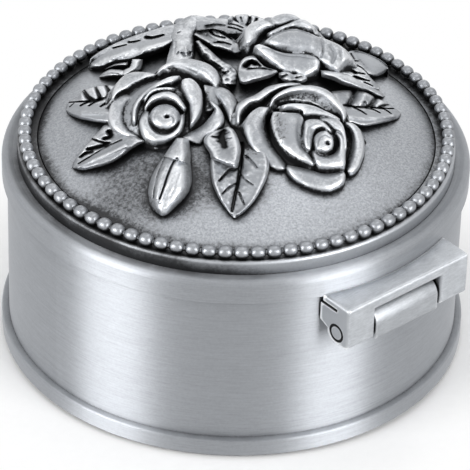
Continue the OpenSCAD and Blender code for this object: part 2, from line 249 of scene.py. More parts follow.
def brushed(name):
    """Satin pewter with fine brushing round the drum."""
    p = Paint(name)
    o = p.place()
    xyz = p.parts(o)
    lines = p.noise(p.scaled(o, 110, 110, 9000), 1.0, 3.0, 0.65)
    short = p.noise(p.scaled(o, 420, 420, 5200), 1.0, 2.0, 0.6)
    grain = p.noise(o, 3000, 2.0, 0.6)
    tone = p.add(p.times(lines, 0.4), p.add(p.times(short, 0.35), p.times(grain, 0.25)))
    shade = p.span(tone, 0.32, 0.68, (0.0, 1.0), smooth=False)
    dull, bright = (0.318, 0.331, 0.352, 1.0), (0.446, 0.464, 0.492, 1.0)
    base = p.mix(shade, dull, bright)
    # the hoop's flat top was left darker by the patina, in uneven patches
    top = p.times(p.span(xyz[2], HOOP_TOP_Z - 0.00015, HOOP_TOP_Z + 0.00015),
                  p.span(p.radius(xyz), 0.0326, 0.0306))
    patch = p.noise(o, 130, 3.0, 0.6)
    top = p.times(top, p.span(p.add(patch, p.times(grain, 0.25)), 0.42, 0.8, (0.25, 0.8)))
    # weaker towards azimuth 62, so that side of the top is lighter: painted light
    top = p.times(top, p.span(p.bearing(o, 62), 0.25, 0.85, (1.0, 0.3)))
    # darker in corners and where parts meet: patina there, and painted shade
    corner = p.add(p.hidden(0.0014), p.swing(grain, 0.3))
    dark = p.most(p.times(p.span(corner, 0.22, 0.8), 0.85), top)
    # dirt in the parting line between lid and box, in stretches
    line = p.span(p.math("ABSOLUTE", p.less(xyz[2], PARTING_Z)), 0.00020, 0.00007)
    dark = p.most(dark, p.times(line, p.span(p.noise(o, 55, 2.0), 0.45, 0.62, (0.15, 0.85))))
    base = p.mix(dark, base, PATINA_AND_SHADE)
    tangent = p.node("ShaderNodeTangent", direction_type="RADIAL", axis="Z")
    p.surface(Base_Color=base, Metallic=1.0, Roughness=p.span(tone, 0.3, 0.7, (0.44, 0.52)),
              Anisotropic=0.95, Anisotropic_Rotation=0.25, Tangent=tangent.outputs[0],
              Normal=p.bump(tone, 0.000012, 0.35))
    return p.material


def cast(name):
    """Fine sand-cast pewter: grainy, darkened near whatever stands on it by patina and by painted shade."""
    p = Paint(name)
    o = p.place()
    xyz = p.parts(o)
    grain = p.noise(o, 3400, 3.0, 0.8)
    coarse = p.noise(o, 1900, 2.0, 0.7)
    cloud = p.noise(o, 150, 3.0, 0.55)
    speck = p.add(p.swing(grain, 1.1), p.swing(coarse, 1.1))
    dull, bright = (0.250, 0.261, 0.279, 1.0), (0.41, 0.427, 0.452, 1.0)
    base = p.mix(p.span(grain, 0.38, 0.62, smooth=False), dull, bright)
    outer = p.span(p.radius(xyz), 0.0288, 0.0292)
    base = p.mix(p.times(outer, 0.8), base, (0.40, 0.416, 0.44, 1.0))
    speck = p.times(speck, p.less(1.0, p.times(outer, 0.7)))
    # darker close to and under the spray: patina, and painted shade from occlusion
    near = p.add(p.times(p.hidden(0.0075), 0.95), p.times(p.hidden(0.0022), 0.5))
    # patina and painted shade are darkest on the dome in front of the spray, and by the beads on that side
    for x, y, size, amount in ((-13.5, -17.0, 10.0, 0.55), (-6.5, -18.5, 6.5, 0.42), (0.5, -18.0, 5.0, 0.38),
                               (-22.0, -8.0, 6.0, 0.14), (13.0, -18.5, 6.5, 0.12)):
        near = p.add(near, p.near(o, x, y, float(dome_top(x, y)), size, amount))
    near = p.add(near, p.swing(cloud, 0.3))
    # a darker band inside the beads, strongest at the front left: painted shadow in the groove, with patina
    front_left = p.span(p.bearing(o, -65), -0.1, 0.9, (0.35, 1.0))
    ring = p.span(p.radius(xyz), 0.0258, 0.0283, (0.0, 0.8))
    near = p.add(near, p.times(ring, p.times(front_left, p.add(cloud, 0.3))))
    # the rim is drawn lighter on the side at azimuth 55: painted light
    painted_light_side = p.times(p.span(p.bearing(o, 55), 0.25, 0.9), outer)
    near = p.less(near, p.times(painted_light_side, 0.6))
    near = p.add(near, speck)
    base = p.mix(p.span(near, 0.14, 1.0, (0.0, 0.95)), base, PATINA_AND_SHADE)
    p.surface(Base_Color=base, Metallic=1.0, Roughness=0.43, Normal=p.bump(grain, 0.00003, 0.5))
    return p.material


def beaded(name):
    """Cast beads, bright on top; patina and painted shade darken them where they meet the ledge, between one
    another, and on the side towards azimuth 140.
    """
    p = Paint(name)
    o = p.place()
    xyz = p.parts(o)
    grain = p.noise(o, 3000, 3.0, 0.6)
    cloud = p.noise(o, 260, 2.0, 0.5)
    dull, bright = (0.215, 0.225, 0.240, 1.0), (0.35, 0.364, 0.388, 1.0)
    base = p.mix(cloud, dull, bright)
    # painted shade, with patina: darker towards the ledge and in the gaps between the beads
    low = p.span(xyz[2], BEAD_LOW_Z + 0.0011, BEAD_LOW_Z, (0.0, 0.9))
    dark = p.add(p.times(p.hidden(0.0016), 1.3), low)
    dark = p.add(dark, p.swing(grain, 0.45))
    # darker on the side at azimuth 140: painted shade
    dark = p.add(dark, p.span(p.bearing(o, 140), 0.3, 0.95, (0.0, 0.28)))
    base = p.mix(p.span(dark, 0.3, 0.95), base, PATINA_AND_SHADE)
    p.surface(Base_Color=base, Metallic=1.0, Roughness=0.42, Normal=p.bump(grain, 0.00002, 0.5))
    return p.material


def patinated(name):
    """Old cast pewter: black in the folds (patina and painted shade), rubbed bright on what stands out, with
    painted shade on steep faces and painted light and shade from each piece's tint.
    """
    p = Paint(name)
    o = p.place()
    fine = p.attribute("fine")
    broad = p.attribute("broad")
    stain_and_painted_light = p.attribute("stain_and_painted_light")
    grain = p.noise(o, 3600, 3.0, 0.8)
    cloud = p.noise(o, 520, 3.0, 0.6)
    coarse = p.noise(o, 1900, 2.0, 0.7)
    # black in folds and where pieces crowd together: patina, and painted shade from occlusion
    dark = p.add(p.times(p.hidden(0.0013), 0.75), p.times(broad, -0.18))
    dark = p.add(dark, p.times(fine, -1.0))
    # each piece's tint: where positive, painted shade with some patina; where negative, painted light (below)
    dark = p.add(dark, p.times(stain_and_painted_light, 0.85))
    # painted shade on steep faces, darker the further they turn from upright
    normal = p.parts(p.node("ShaderNodeTexCoord").outputs["Normal"])
    dark = p.add(dark, p.span(normal[2], 0.55, 0.05, (0.0, 0.32)))
    dark = p.add(dark, p.swing(cloud, 0.4))
    speck = p.add(p.swing(grain, 1.3), p.swing(coarse, 1.2))
    dark = p.span(p.add(dark, speck), 0.20, 0.80)
    light = p.add(p.times(fine, 2.6), p.times(broad, 0.35))
    light = p.add(light, p.swing(cloud, 0.7))
    # a negative tint lightens the piece: painted light
    light = p.add(light, p.most(p.times(stain_and_painted_light, -1.0), 0.0))
    light = p.span(p.add(light, p.times(speck, 0.6)), 0.08, 0.85)
    dull, bright = (0.300, 0.313, 0.332, 1.0), (0.62, 0.636, 0.658, 1.0)
    base = p.mix(light, dull, bright)
    base = p.mix(dark, base, BLACKENED_AND_SHADE)
    rough = p.add(p.times(light, -0.10), p.add(p.times(dark, 0.15), 0.52))
    lumps = p.bump(p.noise(o, 1300, 2.0, 0.5), 0.00005, 0.5)
    p.surface(Base_Color=base, Metallic=1.0, Roughness=rough, Normal=p.bump(grain, 0.00003, 0.6, lumps))
    return p.material


def hinge_metal(name, level=1.0):
    """Filed pewter blocks: short file marks, bright edges that are wear and painted highlight, a dark ring
    round the pin's end; level scales the colours, and a level under 1 draws the copy darker as painted shade.
    """
    p = Paint(name)
    o = p.place()
    xyz = p.parts(o)
    marks = p.noise(p.scaled(o, 900, 5200, 5200), 1.0, 3.0, 0.6)
    grain = p.noise(o, 3800, 2.0, 0.6)
    cloud = p.noise(o, 420, 3.0, 0.55)
    tone = p.add(p.times(marks, 0.45), p.add(p.times(grain, 0.2), p.times(cloud, 0.35)))
    low, high = (tuple(level * v for v in c) + (1.0,) for c in ((0.40, 0.417, 0.440), (0.56, 0.582, 0.61)))
    base = p.mix(p.span(tone, 0.36, 0.64, smooth=False), low, high)
    # painted shade on the faces turned towards +x, such as the ear's side
    normal = p.parts(p.node("ShaderNodeTexCoord").outputs["Normal"])
    base = p.mix(p.span(normal[0], 0.6, 0.95, (0.0, 0.8)), base, (0.36, 0.374, 0.393, 1.0))
    # outer edges lighter: wear, and painted highlight
    edge = p.span(p.add(p.hidden(0.0006, inside=True), p.swing(cloud, 0.25)), 0.22, 0.45)
    base = p.mix(edge, base, (0.80, 0.815, 0.83, 1.0))
    r = p.length(p.less(xyz[1], PIN_Y), p.less(xyz[2], PIN_Z))
    ring = p.span(p.math("ABSOLUTE", p.less(r, PIN_R)), 0.00028, 0.00016)
    # darker in corners: painted shade, with patina
    corner = p.add(p.hidden(0.0013), p.swing(grain, 0.35))
    dark = p.most(ring, p.times(p.span(corner, 0.3, 0.85), 0.9))
    base = p.mix(dark, base, (0.02, 0.02, 0.021, 1.0))
    p.surface(Base_Color=base, Metallic=1.0, Roughness=p.span(tone, 0.3, 0.7, (0.42, 0.54)),
              Normal=p.bump(tone, 0.00003, 0.5))
    return p.material


def velvet(name):
    """Short-pile navy velvet: the pile leans in soft patches and catches light at a grazing angle."""
    p = Paint(name)
    o = p.place()
    pile = p.noise(o, 5200, 2.0, 0.7)
    lean = p.noise(o, 190, 3.0, 0.55)
    brushed_back = p.span(lean, 0.42, 0.62)
    dull, bright = (0.018, 0.026, 0.070, 1.0), (0.042, 0.060, 0.145, 1.0)
    base = p.mix(brushed_back, dull, bright)
    base = p.mix(p.span(pile, 0.35, 0.7), base, (0.060, 0.082, 0.185, 1.0))
    # darker in corners and folds: painted shade
    base = p.mix(p.span(p.hidden(0.0015), 0.3, 0.9, (0.0, 0.8)), base, (0.006, 0.008, 0.020, 1.0))
    s = p.surface(Base_Color=base, Metallic=0.0, Roughness=0.85,
                  Normal=p.bump(pile, 0.00008, 0.9, p.bump(lean, 0.0002, 0.4)))
    s.inputs["Sheen Weight"].default_value = 0.55
    s.inputs["Sheen Roughness"].default_value = 0.35
    s.inputs["Sheen Tint"].default_value = (0.45, 0.55, 0.9, 1.0)
    s.inputs["Specular IOR Level"].default_value = 0.15
    return p.material


def felt(name):
    """Black wool felt: matted fibres that lie every way, with a little lint."""
    p = Paint(name)
    o = p.place()
    one = p.noise(p.scaled(o, 900, 5200, 5200), 1.0, 3.0, 0.7)
    two = p.noise(p.scaled(o, 5200, 900, 5200), 1.0, 3.0, 0.7)
    lint = p.noise(o, 1500, 3.0, 0.7)
    fibre = p.most(one, two)
    dull, bright = (0.016, 0.017, 0.019, 1.0), (0.055, 0.056, 0.060, 1.0)
    base = p.mix(p.span(fibre, 0.45, 0.75), dull, bright)
    base = p.mix(p.span(lint, 0.68, 0.8, (0.0, 0.5)), base, (0.13, 0.13, 0.135, 1.0))
    s = p.surface(Base_Color=base, Metallic=0.0, Roughness=0.95, Normal=p.bump(fibre, 0.00012, 0.9))
    s.inputs["Sheen Weight"].default_value = 0.2
    s.inputs["Sheen Roughness"].default_value = 0.6
    s.inputs["Specular IOR Level"].default_value = 0.1
    return p.material


# ----------------------------------------------------------------- relief on the lid
# Spray frame: x to the right and y away as the camera looks, z up, in mm. The lid's dome is part of one ball.
DOME_R = 67.36
DOME_DROP = 30.01
SUNK = 0.4                 # how far the castings' undersides sit in the dome
DIP = 0.12                 # how far the edges of a casting dip under the dome
ROWS_BEHIND = 6            # rows of the grid that round a casting off behind
STAND_R = 26.9             # nothing of the spray stands further out than this


def dome_top(x, y):
    """Height of the dome's upper surface."""
    return -DOME_DROP + np.sqrt(DOME_R ** 2 - x * x - y * y)


FLOWER = patinated("rose_pewter")


class Facing:
    """A plane that leans towards the camera, on which a flower's parts are laid out as they look."""

    def __init__(self, x, y, lift, lean_x, lean_y):
        a = np.array([lean_x, lean_y, 1.0])
        self.a = a / np.linalg.norm(a)
        self.o = np.array([x, y, dome_top(x, y)]) + lift * self.a
        e = np.array([1.0, 0, 0]) - self.a[0] * self.a
        self.x = e / np.linalg.norm(e)
        self.y = np.cross(self.a, self.x)
        c = np.array([0.0, -math.cos(CAM_ELEVATION), math.sin(CAM_ELEVATION)])
        self.lean = -np.array([c @ self.x, c @ self.y]) / (c @ self.a)
        self.sight = c / (c @ self.a)

    def dome(self, X, Y):
        """Height of the dome in this frame."""
        p = self.o + np.asarray(X)[..., None] * self.x + np.asarray(Y)[..., None] * self.y
        p = p - np.array([0, 0, -DOME_DROP])
        b = p @ self.a
        c = (p * p).sum(-1) - DOME_R ** 2
        return -b + np.sqrt(np.maximum(b * b - c, 0.0))

    def pull_in(self, points):
        """How far points must come forward along the line of sight to stand on the dome, not past its rim."""
        d = self.sight
        a = d[0] ** 2 + d[1] ** 2
        b = points[..., 0] * d[0] + points[..., 1] * d[1]
        c = points[..., 0] ** 2 + points[..., 1] ** 2 - STAND_R ** 2
        root = np.sqrt(np.maximum(b * b - a * c, 0))
        step = (-b - root) / a
        return np.where(c > 0, np.maximum(step, 0), 0.0)

    def needed(self, X, Y):
        """How far a point that looks to be at X, Y must stand over the dome, so as not to be past its rim."""
        h = self.dome(X, Y)
        for _ in range(12):
            TX, TY = X - h * self.lean[0], Y - h * self.lean[1]
            h = self.dome(TX, TY)
        p = self.spray(TX, TY, h)
        p = p + self.pull_in(p)[..., None] * self.sight
        return np.maximum(p[..., 2] - dome_top(p[..., 0], p[..., 1]), 0)

    def spray(self, X, Y, H):
        """Points given in this frame, in the spray's."""
        return (self.o + np.asarray(X)[..., None] * self.x + np.asarray(Y)[..., None] * self.y
                + np.asarray(H)[..., None] * self.a)


def along(points, t):
    """Points at shares t of the length of a smooth curve through the given points."""
    p = np.asarray(points, float)
    if len(p) > 2:
        q = np.vstack([2 * p[0] - p[1], p, 2 * p[-1] - p[-2]])
        u = np.linspace(0, 1, 24, endpoint=False)[:, None]
        out = []
        for i in range(len(p) - 1):
            a, b, c, d = q[i:i + 4]
            out.append(0.5 * (2 * b + (c - a) * u + (2 * a - 5 * b + 4 * c - d) * u ** 2
                              + (3 * b - a - 3 * c + d) * u ** 3))
        p = np.vstack(out + [p[-1:]])
    step = np.r_[0, np.cumsum(np.linalg.norm(np.diff(p, axis=0), axis=1))]
    t = np.asarray(t) * step[-1]
    return np.stack([np.interp(t, step, p[:, i]) for i in range(p.shape[1])], -1)


def smooth(a, sigma):
    """A grid of heights blurred by a bell curve that is sigma cells wide."""
    n = int(math.ceil(3 * sigma))
    k = np.exp(-0.5 * (np.arange(-n, n + 1) / sigma) ** 2)
    k /= k.sum()
    for axis in (0, 1):
        pad = [(n, n) if i == axis else (0, 0) for i in range(2)]
        b = np.pad(a, pad, mode="edge")
        m = a.shape[axis]
        a = sum(w * (b[i:i + m] if axis == 0 else b[:, i:i + m]) for i, w in enumerate(k))
    return a


def ripple(x, y, size, seed):
    """Smooth unevenness between about -1 and 1, from a few fixed waves."""
    r = np.random.default_rng(seed)
    out = 0
    for i in range(9):
        d = r.uniform(0, 2 * math.pi)
        f = 2 * math.pi / (size * r.uniform(0.6, 1.6))
        out = out + np.sin(f * (x * math.cos(d) + y * math.sin(d)) + r.uniform(0, 6.28))
    return out / 3.2


def strokes_at(X, Y, strokes):
    """Sum of grooves (negative) and ridges (positive) drawn along lines: points, width at both ends,
    height."""
    total = np.zeros_like(X)
    for points, w0, w1, height in strokes:
        p = along(points, np.linspace(0, 1, 4 * len(points)))
        best = np.full(X.shape, 1e9)
        where = np.zeros(X.shape)
        for i in range(len(p) - 1):
            a, b = p[i], p[i + 1]
            d = b - a
            u = np.clip(((X - a[0]) * d[0] + (Y - a[1]) * d[1]) / max(d @ d, 1e-9), 0, 1)
            r = np.hypot(X - a[0] - u * d[0], Y - a[1] - u * d[1])
            near = r < best
            best = np.where(near, r, best)
            where = np.where(near, (i + u) / (len(p) - 1), where)
        w = w0 + (w1 - w0) * where
        total += height * np.exp(-(best / w) ** 2)
    return total


def solid(name, top, low, cells, marks, material):
    """Closed mesh from an upper and a lower sheet on one grid; cells says which squares of the grid are
    there."""
    cells = cells.copy()
    for _ in range(6):           # no two squares may touch at a corner only
        c = np.pad(cells, 1)
        a, b, d, e = c[:-1, :-1], c[:-1, 1:], c[1:, :-1], c[1:, 1:]
        bad = (a & e & ~b & ~d) | (b & d & ~a & ~e)
        if not bad.any():
            break
        grow = bad[:-1, :-1] | bad[:-1, 1:] | bad[1:, :-1] | bad[1:, 1:]
        cells &= ~grow
    n, m = cells.shape
    used = np.zeros((n + 1, m + 1), bool)
    used[:-1, :-1] |= cells
    used[1:, :-1] |= cells
    used[:-1, 1:] |= cells
    used[1:, 1:] |= cells
    number = np.full(used.shape, -1)
    number[used] = np.arange(used.sum())
    count = int(used.sum())
    i, j = np.nonzero(cells)
    q = np.stack([number[i, j], number[i, j + 1], number[i + 1, j + 1], number[i + 1, j]], 1)
    faces = [q, q[:, ::-1] + count]
    pad = np.pad(cells, 1)
    for di, dj, e in ((-1, 0, (0, 1)), (0, 1, (1, 2)), (1, 0, (2, 3)), (0, -1, (3, 0))):
        edge = ~pad[i + 1 + di, j + 1 + dj]
        a, b = q[edge, e[0]], q[edge, e[1]]
        faces.append(np.stack([b, a, a + count, b + count], 1))
    faces = np.vstack(faces)
    verts = to_row(np.vstack([top[used], low[used]]))
    mesh = bpy.data.meshes.new(name)
    mesh.vertices.add(len(verts))
    mesh.vertices.foreach_set("co", verts.ravel())
    mesh.loops.add(faces.size)
    mesh.loops.foreach_set("vertex_index", faces.ravel())
    mesh.polygons.add(len(faces))
    mesh.polygons.foreach_set("loop_start", np.arange(0, faces.size, 4))
    mesh.update(calc_edges=True)
    mesh.validate()
    mesh.polygons.foreach_set("use_smooth", np.ones(len(mesh.polygons), bool))
    for key, value in marks.items():
        at = mesh.attributes.new(key, "FLOAT", "POINT")
        at.data.foreach_set("value", np.r_[value[used], value[used] * 0 - 0.3].astype(np.float32))
    mesh.materials.append(material)
    o = link(name, mesh)
    return o


def hollows(h, cell):
    """How far each point stands above its surroundings, near by and further round."""
    return {"fine": h - smooth(h, 0.30 / cell), "broad": h - smooth(h, 1.1 / cell)}


def behind(edge):
    """Rows that round off from an edge and drop to the dome on the side away from the camera."""
    tall = np.maximum(edge[:, 2] - dome_top(edge[:, 0], edge[:, 1]), 0)
    room = np.sqrt(np.maximum((STAND_R + 0.4) ** 2 - edge[:, 0] ** 2, 0)) - edge[:, 1]
    reach = np.clip(np.minimum(0.75 * tall, 1.7), 0.02, np.maximum(room, 0.02))
    rows = []
    for k in range(ROWS_BEHIND, 0, -1):
        f = k / ROWS_BEHIND * math.pi / 2
        p = edge + np.stack([0 * tall, reach * math.sin(f), 0 * tall], 1)
        ground = dome_top(p[:, 0], p[:, 1]) - DIP
        p[:, 2] = p[:, 2] + (ground - p[:, 2]) * (1 - math.cos(f))
        rows.append(p)
    return np.stack(rows, 1)


def leaf(name, plane, left, right, body, strokes=(), edge=0.6, close=(0.6, 0.0), grain=0.012, seed=1,
         back=False, end_back=False, low=-DIP, stain_and_painted_light=(0.0, 0.0), foot=(0.0, 1.0), marked=0.4):
    """A cast leaf, bud or stalk between two edges drawn from its base to its tip, standing on the dome.

    body: heights over the dome, a list over the length of lists over the width
    edge: how wide the rounding at the sides is; close: how far it reaches in at the base and at the tip
    back: the left edge shows against what lies behind; end_back: so does the base
    low: height of the near edge
    foot: how dark the base is, and how far that reaches
    marked: how strongly the ups and downs of a piece at the back are tinted
    """
    cell = 0.11
    even = np.linspace(0, 1, 40)
    one, other = along(left, even), along(right, even)
    mid = 0.5 * (one + other)
    length = np.linalg.norm(np.diff(mid, axis=0), axis=1).sum()
    span = np.linalg.norm(one - other, axis=1)
    n = int(np.clip(length / cell, 24, 190))
    m = int(np.clip(span.max() / cell, 20, 120))
    t = np.linspace(0, 1, n)
    s = np.linspace(0, 1, m)
    a, b = along(left, t), along(right, t)
    A = a[:, None] * (1 - s)[None, :, None] + b[:, None] * s[None, :, None]
    width = np.linalg.norm(a - b, axis=1)[:, None]
    gap = (1 - s if back else np.minimum(s, 1 - s))[None] * width
    if close[0] > 0:
        gap = np.minimum(gap, t[:, None] * length * edge / close[0])
    if close[1] > 0:
        gap = np.minimum(gap, (1 - t)[:, None] * length * edge / close[1])
    rim = np.sqrt(np.clip(1 - (1 - np.clip(gap / edge, 0, 1)) ** 2, 0, 1))
    body = np.asarray(body, float)
    if body.ndim == 1:
        body = body[:, None] * np.ones((1, 2))
    ti = np.linspace(0, 1, body.shape[0])
    si = np.linspace(0, 1, body.shape[1])
    rows = np.stack([np.interp(t, ti, body[:, k]) for k in range(body.shape[1])], 1)
    full = np.stack([np.interp(s, si, rows[i]) for i in range(n)], 0)
    full = smooth(full, 0.35 / cell)
    X, Y = A[..., 0], A[..., 1]
    full = full + grain * ripple(X, Y, 0.9, seed)
    H = low + rim * (full - low) if back else rim * full
    H = H + strokes_at(X, Y, strokes) * np.clip(rim * 1.6, 0, 1)
    H = np.maximum(H, -0.1)
    H[:, -1] = low
    if not back:
        H[:, 0] = -DIP
    if close[0] > 0 or not back:
        H[0] = np.minimum(H[0], -DIP)
    if close[1] > 0 or not back:
        H[-1] = -DIP
    if back:
        # a body that swells up to its far edge, which shows against whatever lies behind
        tall = plane.needed(X[:, 0], Y[:, 0])
        tall = smooth(tall[:, None], 0.5 / cell)[:, 0]
        H = np.maximum(H, tall[:, None] * np.sqrt(1 - s ** 2)[None])
    h = plane.dome(X, Y)
    for _ in range(6):
        TX, TY = X - (h + H) * plane.lean[0], Y - (h + H) * plane.lean[1]
        h = plane.dome(TX, TY)
    TX, TY = X - (h + H) * plane.lean[0], Y - (h + H) * plane.lean[1]
    top = plane.spray(TX, TY, h + H)
    top = top + plane.pull_in(top)[..., None] * plane.sight
    # the piece's tint of stain and painted light and shade across its width, and a darker base
    tone = np.interp(s, np.linspace(0, 1, len(stain_and_painted_light)), stain_and_painted_light)[None] + 0 * H
    tone = tone + foot[0] * np.clip(1 - t / foot[1], 0, 1)[:, None]
    if back:
        top = np.concatenate([behind(top[:, 0]), top], 1)
        # the rounding behind is drawn darker towards the dome: painted shade
        tone = np.concatenate([np.repeat(tone[:, :1], ROWS_BEHIND, 1) + np.linspace(0.9, 0.2, ROWS_BEHIND),
                               tone], 1)
    if end_back:
        top = np.concatenate([behind(top[0]).transpose(1, 0, 2), top], 0)
        tone = np.concatenate([np.repeat(tone[:1], ROWS_BEHIND, 0), tone], 0)
    under = top.copy()
    under[..., 2] = dome_top(top[..., 0], top[..., 1]) - SUNK
    top[..., 2] = np.maximum(top[..., 2], under[..., 2] + DIP)
    height = np.maximum(top[..., 2] - dome_top(top[..., 0], top[..., 1]), 0)
    if back:
        height[:, :ROWS_BEHIND] = height[:, ROWS_BEHIND:ROWS_BEHIND + 1]
    if end_back:
        height[:ROWS_BEHIND] = height[ROWS_BEHIND:ROWS_BEHIND + 1]
    marks = hollows(height, cell)
    if back:
        marks = {key: marked * value for key, value in marks.items()}
    # darker where the piece comes down to the dome: painted shade
    marks["stain_and_painted_light"] = tone + 0.55 * np.clip(1 - height / 0.5, 0, 1)
    cells = np.ones((top.shape[0] - 1, top.shape[1] - 1), bool)
    return finish_piece(name, top, under, cells, marks)


def finish_piece(name, top, low, cells, marks):
    """The closed casting, riding on the lid."""
    # the grid's turn is made right-handed, so that faces look outwards
    a = top[1:, :-1] - top[:-1, :-1]
    b = top[:-1, 1:] - top[:-1, :-1]
    up = np.cross(b, a)[..., 2]
    if np.median(up[cells]) < 0:
        top, low, cells = top[::-1], low[::-1], cells[::-1]
        marks = {k: v[::-1] for k, v in marks.items()}
    o = solid(name, top, low, cells, marks, FLOWER)
    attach(o, "lid")
    return o


class Relief:
    """A flower worked up as heights over its facing plane, petal by petal."""

    def __init__(self, plane, x0, x1, y0, y1, cell=0.05):
        self.plane, self.cell, self.x0, self.y0 = plane, cell, x0, y0
        self.nx = int(round((x1 - x0) / cell / 2)) * 2 + 1
        self.ny = int(round((y1 - y0) / cell / 2)) * 2 + 1
        self.X, self.Y = np.meshgrid(x0 + cell * np.arange(self.nx), y0 + cell * np.arange(self.ny))
        self.dome = plane.dome(self.X, self.Y)
        self.h = self.dome - 0.6
        self.stain_and_painted_light = np.zeros_like(self.h)
        spot = plane.spray(self.X, self.Y, self.dome)
        self.near_rim = np.hypot(spot[..., 0], spot[..., 1]) > STAND_R + 0.3

    def bed(self, cx, cy, radii, heights):
        """The ground under the petals: its heights at these distances from a centre."""
        r = np.hypot(self.X - cx, self.Y - cy)
        b = np.interp(r, radii, heights, right=-99.0)
        self.h = np.maximum(self.h, b)

    def put(self, AX, AY, H, S=0.0):
        """Raises the surface to a sheet of points, given where they look to be, and gives it its tint of
        stain and of painted light and shade.
        """
        TX, TY = AX - H * self.plane.lean[0], AY - H * self.plane.lean[1]
        step = self.plane.pull_in(self.plane.spray(TX, TY, H))
        TX, TY, H = TX - step * self.plane.lean[0], TY - step * self.plane.lean[1], H + step
        i = np.round((TY - self.y0) / self.cell).astype(int)
        j = np.round((TX - self.x0) / self.cell).astype(int)
        ok = (i >= 0) & (i < self.ny) & (j >= 0) & (j < self.nx)
        i, j, H, S = i[ok], j[ok], H[ok], np.broadcast_to(S, ok.shape)[ok]
        np.maximum.at(self.h, (i, j), H)
        best = H >= self.h[i, j] - 1e-6
        self.stain_and_painted_light[i[best], j[best]] = S[best]

    def petal(self, inner, outer, h_in, h_top, h_out, at=0.55, cup=False, ends=2.5, drop=1.2, wave=0.03,
              strokes=(), top_along=None, seed=3, stain_and_painted_light=(0.0, 0.0)):
        """A petal between two drawn lines. cup: its inner side is hollow, not full."""
        n, m = 560, 200
        t = np.linspace(0, 1, n)
        s = np.linspace(0, 1, m)
        a, b = along(inner, t), along(outer, t)
        A = a[:, None] * (1 - s)[None, :, None] + b[:, None] * s[None, :, None]
        up = np.clip(s / at, 0, 1)
        rise = (1 - np.cos(up * math.pi / 2)) if cup else np.sin(up * math.pi / 2)
        down = np.clip((s - at) / (1 - at), 0, 1)
        fall = np.sqrt(np.clip(1 - down ** 2, 0, 1))
        top = np.interp(t, np.linspace(0, 1, len(top_along)), top_along)[:, None] if top_along else h_top
        H = np.where(s[None] < at, h_in + (top - h_in) * rise[None], h_out + (top - h_out) * fall[None])
        E = 1 - np.abs(2 * t - 1) ** (2 * ends)
        H = H - drop * (1 - np.sqrt(E))[:, None]
        X, Y = A[..., 0], A[..., 1]
        H = H + wave * ripple(X, Y, 1.6, seed) + strokes_at(X, Y, strokes)
        S = np.interp(s, np.linspace(0, 1, len(stain_and_painted_light)), stain_and_painted_light)[None] + 0 * H
        self.put(X, Y, H, S)

    def knob(self, cx, cy, r, h_top, h_edge):
        """The closed heart of a flower."""
        n, m = 300, 420
        u = np.linspace(0, 1, n)[:, None]
        v = np.linspace(0, 2 * math.pi, m)[None]
        X, Y = cx + r * u * np.cos(v), cy + r * u * np.sin(v)
        H = h_edge + (h_top - h_edge) * np.sqrt(1 - u ** 2.6) + 0 * v
        self.put(X, Y, H)

    def carve(self, strokes):
        """Grooves and ridges in the finished surface, drawn where they look to be."""
        AX = self.X + self.h * self.plane.lean[0]
        AY = self.Y + self.h * self.plane.lean[1]
        self.h = self.h + strokes_at(AX, AY, strokes)

    def finish(self, name):
        """The flower as a closed piece, on every second point of the grid."""
        h = self.h
        # a steep skirt down to the dome on the side that faces away
        steep, reach = 2.4, 2.4
        outside = (h < self.dome - 0.3) & (self.Y > -2.5)
        # with folds, and lips like those of the petals below one another
        fold = 0.35 * np.sin(1.5 * self.X + 0.6 * np.sin(0.7 * self.Y))
        front = 9.0 * np.clip((1.5 - self.Y) / 4.0, 0, 1)
        for _ in range(int(reach / self.cell)):
            p = np.pad(h, 1, mode="edge")
            n = np.maximum.reduce([p[:-2, 1:-1], p[2:, 1:-1], p[1:-1, :-2], p[1:-1, 2:]])
            lips = 1.2 * np.sin(4.6 * n + 1.4 * np.sin(0.9 * self.X) + 0.8 * np.sin(1.1 * self.Y))
            n = n - (steep + fold + front + lips) * self.cell
            h = np.where(outside, np.maximum(h, n), h)
        # the skirt that faces away is drawn darker: painted shade
        under = np.where(outside & (h > self.dome), 0.42 + 0.25 * ripple(self.X, self.Y, 1.5, 91), 0.0)
        h = smooth(h, 1.0)[::2, ::2]
        stain_and_painted_light = smooth(self.stain_and_painted_light + under, 1.5)[::2, ::2]
        X, Y, dome = self.X[::2, ::2], self.Y[::2, ::2], self.dome[::2, ::2]
        keep = (h > dome - DIP) & ~self.near_rim[::2, ::2]
        cells = keep[:-1, :-1] | keep[1:, :-1] | keep[:-1, 1:] | keep[1:, 1:]
        cells = only_largest(cells)
        marks = hollows(np.maximum(h, dome), self.cell * 2)
        # darker where the flower comes down to the dome: painted shade
        marks["stain_and_painted_light"] = stain_and_painted_light + 0.55 * np.clip(1 - (h - dome) / 0.9, 0, 1)
        h = np.maximum(h, dome - 0.25)
        top = self.plane.spray(X, Y, h)
        low = self.plane.spray(X, Y, dome - SUNK)
        return finish_piece(name, top, low, cells, marks)


def only_largest(cells):
    """The largest group of cells that touch one another."""
    label = np.where(cells, np.arange(1, cells.size + 1).reshape(cells.shape), 0)
    for _ in range(600):
        p = np.pad(label, 1)
        new = np.maximum.reduce([p[1:-1, 1:-1], p[:-2, 1:-1], p[2:, 1:-1], p[1:-1, :-2], p[1:-1, 2:]])
        new = np.where(cells, new, 0)
        if (new == label).all():
            break
        label = new
    ids, counts = np.unique(label[label > 0], return_counts=True)
    return label == ids[counts.argmax()]


LEFT = Facing(-9.8, -3.6, 3.2, 0.0, -0.5)
RIGHT = Facing(9.6, -8.2, 3.0, 0.1, -0.45)
REAR = Facing(8.0, 11.0, 3.0, 0.0, -0.45)
BACK = Facing(-11.0, 12.5, 1.2, 0.0, -0.3)
WEST = Facing(-17.0, -4.5, 1.0, 0.0, -0.2)
FRONT = Facing(-4.5, -16.5, 1.5, 0.0, -0.3)
EAST = Facing(17.5, 7.5, 1.0, 0.0, -0.2)


